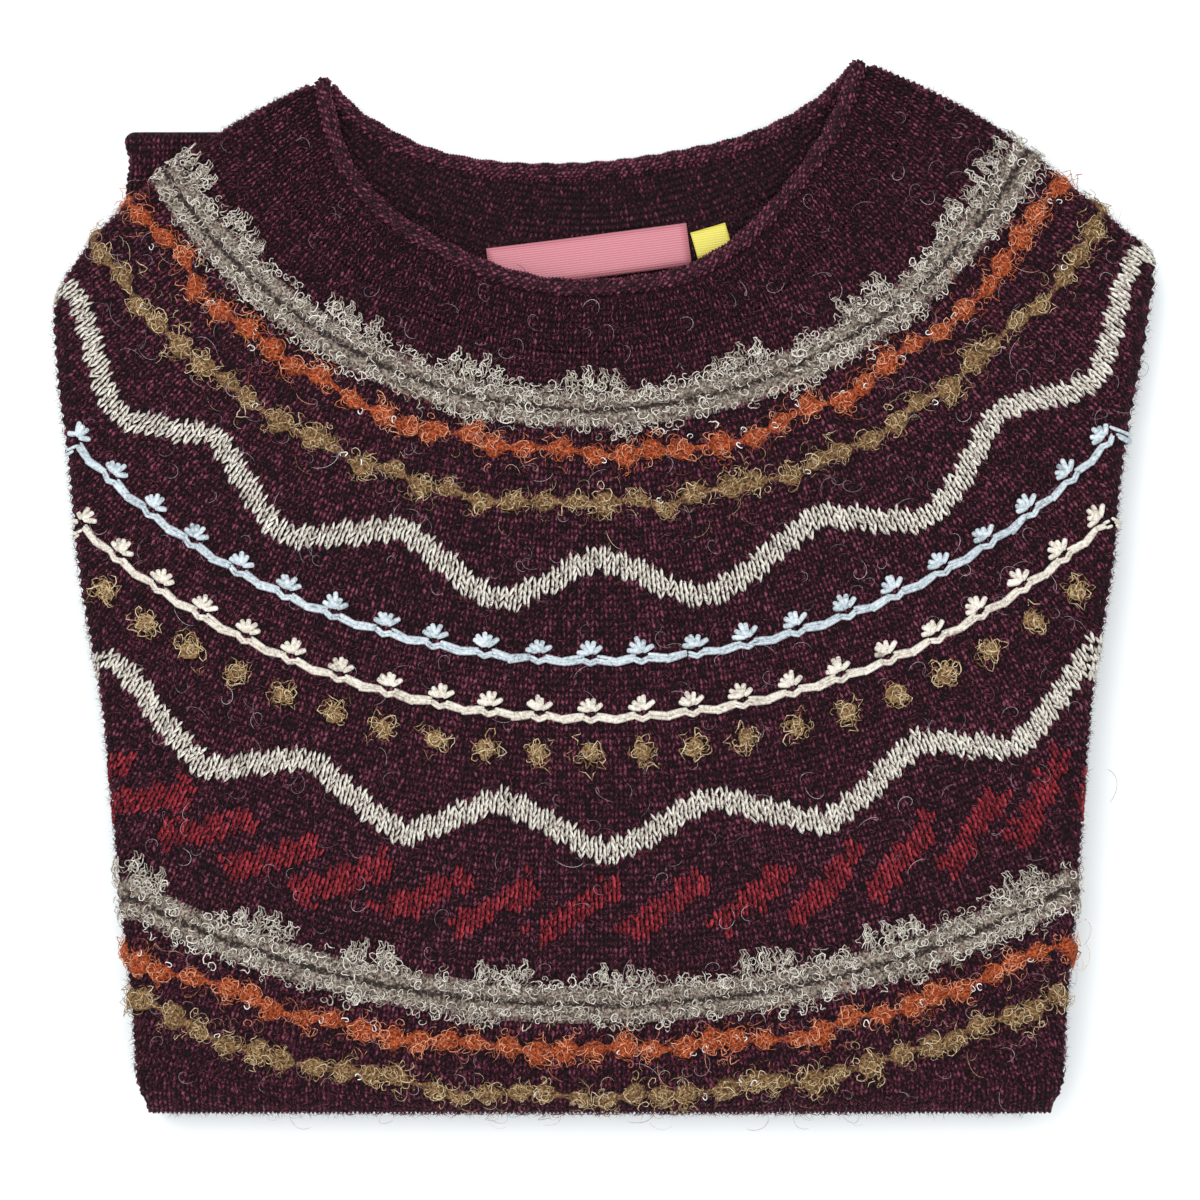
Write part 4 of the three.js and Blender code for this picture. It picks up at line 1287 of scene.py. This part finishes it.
def pad(name, radius, half, height, material):
    """A soft raised strip under a band: rounded sides, an uneven top, painted shade all over and a
    darker line of painted shade along its middle, where the lanes part.
    """
    angles = np.linspace(*fold_range(radius, 8.5), PAD_ANGLES)
    shares = np.linspace(-1, 1, PAD_SHARES)
    noise = dice.normal(0, 1, (PAD_SHARES, PAD_ANGLES))
    top = [place(radius + half * share, angles,
                 height * (1 - share ** 4) * (1 + 0.3 * bumps) + 0.15)
           for share, bumps in zip(shares, noise)]
    base = [place(radius + half * share, angles, -0.4) for share in shares]
    points, faces = wall(np.array(top), np.array(base))
    # Painted shade, deepest along the middle, where the two lanes leave a gap.
    tones = PAD_PAINTED_SHADE - GAP_PAINTED_SHADE * np.exp(-((shares / SEAM_WIDTH) ** 2))
    return mesh_object(name, points, faces, material,
                       shade=np.tile(np.repeat(tones, PAD_ANGLES), 2))


def curly_band(name, radius, crowns, count):
    """Two lanes of curls with a seam between them, and crowns of standing loops."""
    half = GREY_HALF
    first, last = fold_range(radius)
    angle = dice.uniform(first, last, count)
    lane = dice.choice((-1, 1), count)
    across = lane * half * 0.53 + dice.normal(0, half * 0.25, count)
    wave = 1.2 * np.sin(angle * radius / 9.0) + 0.8 * np.sin(angle * radius / 3.7)
    ring_at = radius + across + wave
    lift = 0.9 + dice.uniform(0, 1.4, count) - 0.5 * (np.abs(across) > half)
    in_lane = np.abs(across) >= half * 0.13
    parts = [(ring_at[in_lane], angle[in_lane], lift[in_lane])]
    stems = []
    for crown in np.radians(crowns):
        for finger in range(FINGERS):
            aside = (finger - (FINGERS - 1) / 2) * FINGER_STEP
            stem = crown + (aside + dice.normal(0, 0.6)) / radius
            tall = dice.uniform(0.75, 1.2)
            stems.append((radius - half * 0.75 - 4.2 * tall, stem, tall))
            t = dice.uniform(0, 1, FINGER_CURLS)
            ring_up = radius - half * 0.8 - 4.6 * tall * t ** 0.6
            parts.append((ring_up, stem + dice.normal(0, 1.4, FINGER_CURLS) / radius,
                          1.0 + dice.uniform(0, 1.2, FINGER_CURLS)))
    ring_at, angle, lift = joined(parts)
    total = len(ring_at)
    curls = strew(name, CURLS, ring_at, angle, lift, dice.uniform(0.65, 1.15, total),
                  grey_loops, dice.normal(0.03, 0.12, total))
    ring_at, angle, tall = np.array(stems * 2).T
    stand = len(ring_at)
    lean = math.pi / 2 + dice.normal(0, 0.16, stand)
    frames = lay_strands(ring_at, angle + dice.normal(0, 0.7, stand) / radius, lean, tall, tall,
                         tall, 1.1 + dice.uniform(0, 0.9, stand))
    hairpins = scatter(name + "_hairpins", HAIRPIN, *frames, grey_loops,
                       0.06 + dice.normal(0, 0.06, stand))
    base = pad(name + "_pad", radius, half * 0.8, 1.0, grey_loops)
    return join_pieces(name, [curls, hairpins, base])


for name, radius, crowns, count in (("grey_band_upper", 185.0, CROWNS["upper"], 1560),
                                    ("grey_band_lower", 403.5, CROWNS["lower"], 1430)):
    dress(curly_band(name, radius, crowns, count), "grey_loop_yarn", name)

# %% [markdown]
# Orange and gold are knots of a finer looped yarn: a knot about every eleven millimetres with
# thin yarn between. Here and there a white thread glints in the orange and the gold.

# %% The orange and gold bands
ROPE_ANGLES, ROPE_SIDES = 260, 7
KNOT_REACH = 3.7  # how far a knot swells the rope to each side
HALO_HAIRS = 140
glint_shape = model_curl(0.78, 1.05, 0.1, 0.5, 0.2, 14)


def knotted_rope(name, radius, angles, knots, sway, weight, material):
    """The yarn's core, painted darker as shade under the curls: thin between the knots and swollen
    in them.
    """
    near = np.abs(angles[:, None] - knots[None]) * radius
    swell = (np.exp(-((near / KNOT_REACH) ** 4)) * weight[None]).max(1)
    wide, tall = 1.0 + 2.9 * swell, 0.5 + 1.9 * swell
    middle = radius + np.interp(angles, knots, sway)
    turns = np.linspace(0, math.pi, ROPE_SIDES)[::-1]
    over = [place(middle + np.cos(turn) * wide, angles,
                  0.2 + np.sin(turn) * tall * dice.uniform(0.8, 1.2, ROPE_ANGLES))
            for turn in turns]
    under = [place(middle + np.cos(turn) * wide, angles, -0.3) for turn in turns]
    points, faces = wall(np.array(over), np.array(under))
    # The core is painted darker all over: painted shade under the curls.
    return mesh_object(name, points, faces, material, shade=np.full(len(points), -0.12))


def knotted_band(name, radius, pitch, spread, material, per_knot, thin, glints):
    first, last = fold_range(radius, 9.5)
    knots = np.arange(first, last, pitch / radius)
    knots = knots + dice.normal(0, 1.3 / radius, len(knots))
    sway = dice.normal(0, 1.7, len(knots))
    weight = dice.uniform(0.6, 1.25, len(knots))
    parts = []
    for knot, off, heavy in zip(knots, sway, weight):
        count = int(per_knot * heavy)
        parts.append((radius + off + dice.normal(0, spread * heavy, count),
                      knot + dice.normal(0, spread * 0.95 * heavy, count) / radius,
                      0.7 + dice.uniform(0, 1.5, count) * heavy))
    parts.append((radius + dice.normal(0, 0.8, thin), dice.uniform(first, last, thin),
                  0.6 + dice.uniform(0, 0.6, thin)))
    ring_at, angle, lift = joined(parts)
    total = len(ring_at)
    curls = strew(name, FINE_CURLS, ring_at, angle, lift, dice.uniform(0.75, 1.35, total),
                  material, dice.normal(0.03, 0.1, total), tilt=0.5)
    rope = knotted_rope(name + "_rope", radius, np.linspace(first, last, ROPE_ANGLES), knots,
                        sway, weight, material)
    loose = strew(name + "_halo", HAIRS, radius + dice.normal(0, 3.2, HALO_HAIRS),
                  dice.uniform(first, last, HALO_HAIRS), np.full(HALO_HAIRS, 1.3),
                  dice.uniform(0.55, 1.15, HALO_HAIRS), material,
                  dice.normal(0.06, 0.1, HALO_HAIRS), tilt=0.25)
    band = join_pieces(name, [curls, rope, loose])
    spots = dice.uniform(first, last, glints)
    bright = strew(name + "_glints", [glint_shape], radius + dice.normal(0, 1.6, glints),
                   spots, np.full(glints, 2.1), dice.uniform(0.8, 1.15, glints),
                   glint_thread, dice.normal(0, 0.03, glints), tilt=0.5)
    dress(bright, "cream_yarn")
    return band


KNOTTED = [  # name, ring, spacing, spread, yarn, slot, curls in a knot, loose curls, glints
    ("orange_band_upper", 201.5, 11.6, 2.4, orange_loops, "orange_loop_yarn", 26, 50, 20),
    ("orange_band_lower", 420.5, 10.7, 2.4, orange_loops, "orange_loop_yarn", 26, 45, 18),
    ("gold_band_upper", 220.5, 11.4, 2.4, gold_loops, "gold_loop_yarn", 24, 50, 8),
    ("gold_band_lower", 437.0, 10.8, 2.4, gold_loops, "gold_loop_yarn", 24, 45, 7),
]
for name, radius, pitch, spread, yarn, slot, *counts in KNOTTED:
    dress(knotted_band(name, radius, pitch, spread, yarn, *counts), slot, name)

# %% [markdown]
# Between the zigzags runs a row of gold dots, each a little knot of the same looped yarn.

# %% The gold dots
DOT_RING, DOT_CURLS = 311.5, 26
DOT_WIDE, DOT_TALL = 4.6, 4.3  # half of a dot, along the ring and across it
dot_step = 19.2 / DOT_RING

dot_first, dot_last = fold_range(DOT_RING, -4.6)
dot_numbers = np.arange(math.ceil(dot_first / dot_step - 0.3), math.floor(dot_last / dot_step) + 1)
dots = []
for number in dot_numbers:
    share = dice.uniform(0, 1, DOT_CURLS) ** 0.7
    turn = dice.uniform(0, 2 * math.pi, DOT_CURLS)
    dots.append((DOT_RING + DOT_TALL * share * np.sin(turn),
                 number * dot_step + DOT_WIDE * share * np.cos(turn) / DOT_RING,
                 0.9 + 1.2 * (1 - share) + dice.uniform(0, 0.6, DOT_CURLS)))
ring_at, angle, lift = joined(dots)
curls = strew("gold_dots", FINE_CURLS, ring_at, angle, lift,
              dice.uniform(0.9, 1.6, len(angle)), gold_loops,
              dice.normal(0.03, 0.1, len(angle)), tilt=0.5)
puff_shape = model_strand(7, 6)
puff_count = len(dot_numbers)
frames = lay_strands(
    DOT_RING + dice.normal(0, 0.4, puff_count), dot_numbers * dot_step,
    dice.uniform(0, 3.1, puff_count), dice.uniform(6.2, 7.6, puff_count),
    dice.uniform(5.2, 6.4, puff_count), 2.4, 0.9)
# Each puff is painted a little darker, as shade under the curls of its dot.
puffs = scatter("gold_puffs", puff_shape, *frames, gold_loops, np.full(puff_count, -0.04))
dot_nodes = sorted(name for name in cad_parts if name.startswith("gold_dot_"))
dress(join_pieces("gold_dots", [curls, puffs]), "gold_loop_yarn", *dot_nodes)
print("dots:", len(dot_numbers), "for", len(dot_nodes), "solids")

# %% [markdown]
# Two embroidered chains cross the chest. A chain is a long smooth stitch of three plies, then
# a short tied link that hangs a little, and over each link stands a tuft of five petals.

# %% The chains and their tufts
PLY = {"apart": 0.85, "aside": 3.1, "slant": 0.17, "length": 8.6, "thick": 1.5}
LINK = {"apart": 1.6, "aside": 1.3, "slant": 0.42, "length": 3.9, "width": 1.3, "height": 1.1}
PETAL = {"width": 2.3, "height": 1.6, "foot": 2.9}
PETALS = [  # turn, length, place along the chain
    (2.92, 4.8, -1.7), (2.4, 5.2, -1.1), (1.85, 5.6, -0.3), (1.35, 5.4, 0.5), (0.62, 4.8, 1.9),
]
ply_shape = model_strand(4, 7)
petal_shape = model_strand(5, 6)


def chain(name, radius, period, material, slot):
    step = period / radius
    first, last = fold_range(radius, 6.0)
    links = np.arange(math.ceil(first / step), math.floor(last / step) + 1) * step
    count = len(links)
    links = links + dice.normal(0, 0.35 / radius, count)
    middle = links + step * 0.5
    strands = []
    for ply in (-1, 0, 1):
        for part in (-1, 1):
            ring_at = radius + ply * PLY["apart"] + dice.normal(0, 0.12, count)
            slant = part * PLY["slant"] + 0.03 * ply + dice.normal(0, 0.03, count)
            strands.append(lay_strands(
                ring_at, middle + part * PLY["aside"] / radius, slant, PLY["length"],
                PLY["thick"], PLY["thick"], 0.95 + 0.15 * (ply == 0)))
    for part in (-1, 1):
        for ply in (-0.35, 0.35):
            strands.append(lay_strands(
                radius + 0.35 + ply * LINK["apart"], links + part * LINK["aside"] / radius,
                part * LINK["slant"], LINK["length"], LINK["width"], LINK["height"], 1.15))
    columns = joined(strands)
    line = scatter(name + "_line", ply_shape, *columns, material,
                   dice.normal(0, 0.04, len(columns[0])))
    petals = []
    for turn, length, off in PETALS:
        turns = turn + dice.normal(0, 0.09, count)
        reach = length / 2 * (1 + dice.normal(0, 0.08, count))
        petals.append(lay_strands(
            radius - PETAL["foot"] - np.sin(turns) * reach * 0.8,
            links + (off + np.cos(turns)) / radius, turns, reach * 2, PETAL["width"],
            PETAL["height"], 1.0))
    columns = joined(petals)
    tufts = scatter(name + "_tufts", petal_shape, *columns, material,
                    dice.normal(0, 0.05, len(columns[0])))
    return dress(join_pieces(name, [line, tufts]), slot)


chain("blue_chain", 277.5, 19.4, blue_wool, "pale_blue_yarn")
chain("cream_chain", 298.5, 18.8, ecru_wool, "cream_yarn")

# %% [markdown]
# Two woven labels are sewn inside the back of the neck. They are thin ribbons of satin-woven
# polyester, left plain, so their colour and their fine ribs do the work.

# %% The woven labels
RIB_PITCH = 0.45  # of a ribbon's woven ribs, about twice the real one so that it shows
LABEL_TURN = 7.4  # degrees


def make_ribbon(name, colour, light):
    """Satin ribbon: a soft gloss that fine ribs along its length break up."""
    material = new_material(name)
    coords = add_node(material, "ShaderNodeTexCoord")
    turned = add_node(material, "ShaderNodeMapping", {
        "Vector": coords.outputs["Object"], "Rotation": (0, 0, math.radians(-LABEL_TURN)),
    })
    weave = add_node(material, "ShaderNodeTexWave", {
        "Vector": turned.outputs["Vector"], "Scale": 1 / (RIB_PITCH * MM) / 6.28,
        "Distortion": 0.4, "Detail": 1.0,
    }, bands_direction="Y")
    ramp = dyed(material, weave.outputs["Fac"], [(0.2, colour), (0.8, light)])
    relief = add_node(material, "ShaderNodeBump", {
        "Strength": 0.4, "Distance": 0.15 * MM, "Height": weave.outputs["Fac"],
    })
    shader = add_node(material, "ShaderNodeBsdfPrincipled", {
        "Base Color": ramp.outputs["Color"], "Roughness": 0.5, "Sheen Weight": 0.2,
        "Sheen Roughness": 0.3, "Normal": relief.outputs["Normal"],
    })
    return finish_material(material, shader)


LABELS = [  # name, x, y, width, height, turn, slot, material
    ("neck_label", -6.0, 121.8, 75.0, 16.0, LABEL_TURN, "pink_label",
     make_ribbon("rose_satin_woven_polyester", "b0606c", "c07c84")),
    ("size_tab", 39.6, 127.6, 13.5, 10.5, 16.0, "yellow_tab",
     make_ribbon("yellow_satin_woven_polyester", "c9b93c", "d9ce62")),
]
LABEL_DEPTH = 5.15  # below the front's top
LABEL_WALL, CROWN = 0.45, 0.35  # thickness at the edge, and how much more there is inside
for name, x, y, width, height, turn, slot, material in LABELS:
    c, s = math.cos(math.radians(turn)), math.sin(math.radians(turn))
    along, up = np.meshgrid(np.linspace(-0.5, 0.5, 25) * width, np.linspace(0.5, -0.5, 7) * height)
    px, py = x + along * c - up * s, y + along * s + up * c
    wave = 0.25 * np.sin(along / 7.0) + 0.15 * np.cos(up / 3.0)
    edge = 1 - np.maximum(np.abs(along * 2 / width), np.abs(up * 2 / height)) ** 12
    base = top_height(px, py) - LABEL_DEPTH
    top = np.stack([px, py, base + LABEL_WALL + wave * 0.6 + CROWN * edge], -1)
    low = np.stack([px, py, base + wave * 0.6], -1)
    points, faces = wall(top, low)
    dress(mesh_object(name, points, faces, material), slot, name)

# %% [markdown]
# Brushed wool is never clean: loose fibres stand off it, and long pale hairs from the fleece lie
# over it in curls. They soften every outline. The short nap is thousands of slivers of four
# faces, and the long hairs are thin curls. Nothing of it goes through the table underneath.

# %% Nap and stray hairs
ABOVE_TABLE = 0.4  # least height of a fibre's ends
LOW_SHARE = 0.36  # of the fibres on the folds that stand on the bottom one


def random_places(count, beyond=10.0, near=133.0, far=462.0):
    """Places spread evenly over the front by area, the folds included."""
    radius = np.sqrt(dice.uniform(near ** 2, far ** 2, count * 2))
    left, right = side_values(radius, -1)[0], side_values(radius, 1)[0]
    angle = dice.uniform(-1.12, 1.16, count * 2)
    keep = (angle > left - beyond / radius) & (angle < right + beyond / radius)
    keep &= radius > neck_front(angle) + 3
    keep &= YOKE_Y - radius * np.cos(angle) > FOLD_INNER - 24
    return radius[keep][:count], angle[keep][:count]


def fold_places(count):
    """Places on the bends at the sides and at the bottom, whose fibres stand off the outline."""
    radius, side = dice.uniform(122, 458, count), dice.choice((-1, 1), count)
    start = np.where(side < 0, side_values(radius, -1)[0], side_values(radius, 1)[0])
    angle = start + side * dice.uniform(1, 9, count) / radius
    bottom = dice.random(count) < LOW_SHARE
    low = dice.uniform(-0.35, 0.36, count)
    radius = np.where(bottom, (YOKE_Y - FOLD_INNER + dice.uniform(4, 20, count)) / np.cos(low),
                      radius)
    return radius, np.where(bottom, low, angle)


def nap(name, places, length, lift, thick, material, slot, bright=0.08, rise=0.35):
    radius, angle = places
    count = len(radius)
    spot, down, across, out = frame_on(place, radius, angle, lift)
    spin = dice.uniform(0, 2 * math.pi, count)
    way = down * np.cos(spin)[:, None] + across * np.sin(spin)[:, None]
    way = unit(way + out * dice.uniform(0, 2 * rise, count)[:, None])
    side = unit(np.cross(out, way))
    long = dice.uniform(*length, count)[:, None]
    shade = dice.normal(bright, 0.09, count)
    clear = np.minimum(spot, spot + way * long * 0.8)[:, 2] > ABOVE_TABLE
    columns = [column[clear] for column in (
        spot + way * long * 0.3, way * long, side * thick, np.cross(way, side) * thick)]
    piece = scatter(name, fibre_shape, *columns, material, shade[clear])
    return dress(piece, slot)


nap("wool_nap", random_places(17500), (1.4, 3.4), 1.15, 0.36, wine_wool, "wine_knit", 0.12, 0.15)
nap("wool_fuzz", random_places(9000), (2.5, 6.0), 1.1, 0.2, wine_wool, "wine_knit", 0.17)
nap("outline_fuzz", fold_places(5000), (1.5, 4.5), 0.9, 0.2, wine_wool, "wine_knit", 0.1, 0.7)
for name, count, material, slot in (("stray_hairs_mauve", 520, stray_wool, "wine_knit"),
                                    ("stray_hairs_wine", 420, wine_wool, "wine_knit")):
    radius, angle = random_places(count, beyond=3.0)
    total = len(radius)
    hairs = strew(name, HAIRS, radius, angle, dice.uniform(1.0, 2.2, total),
                  dice.uniform(0.6, 1.25, total), material, dice.normal(0.05, 0.1, total), 0.14)
    dress(hairs, slot)

# %% [markdown]
# A knitted piece is shaped on the needles, so each sheet has the size it would have laid out
# flat.

# %% [markdown]
# The last step counts the triangles of all the pieces that render.

# %% Triangle counts and the end
pieces = [piece for piece in bpy.data.objects
          if piece.type == "MESH" and not piece.hide_render]
counts = {piece.name: triangle_count(piece) for piece in pieces}
print("triangles in all:", sum(counts.values()), "and at most", max(counts.values()), "in a piece")
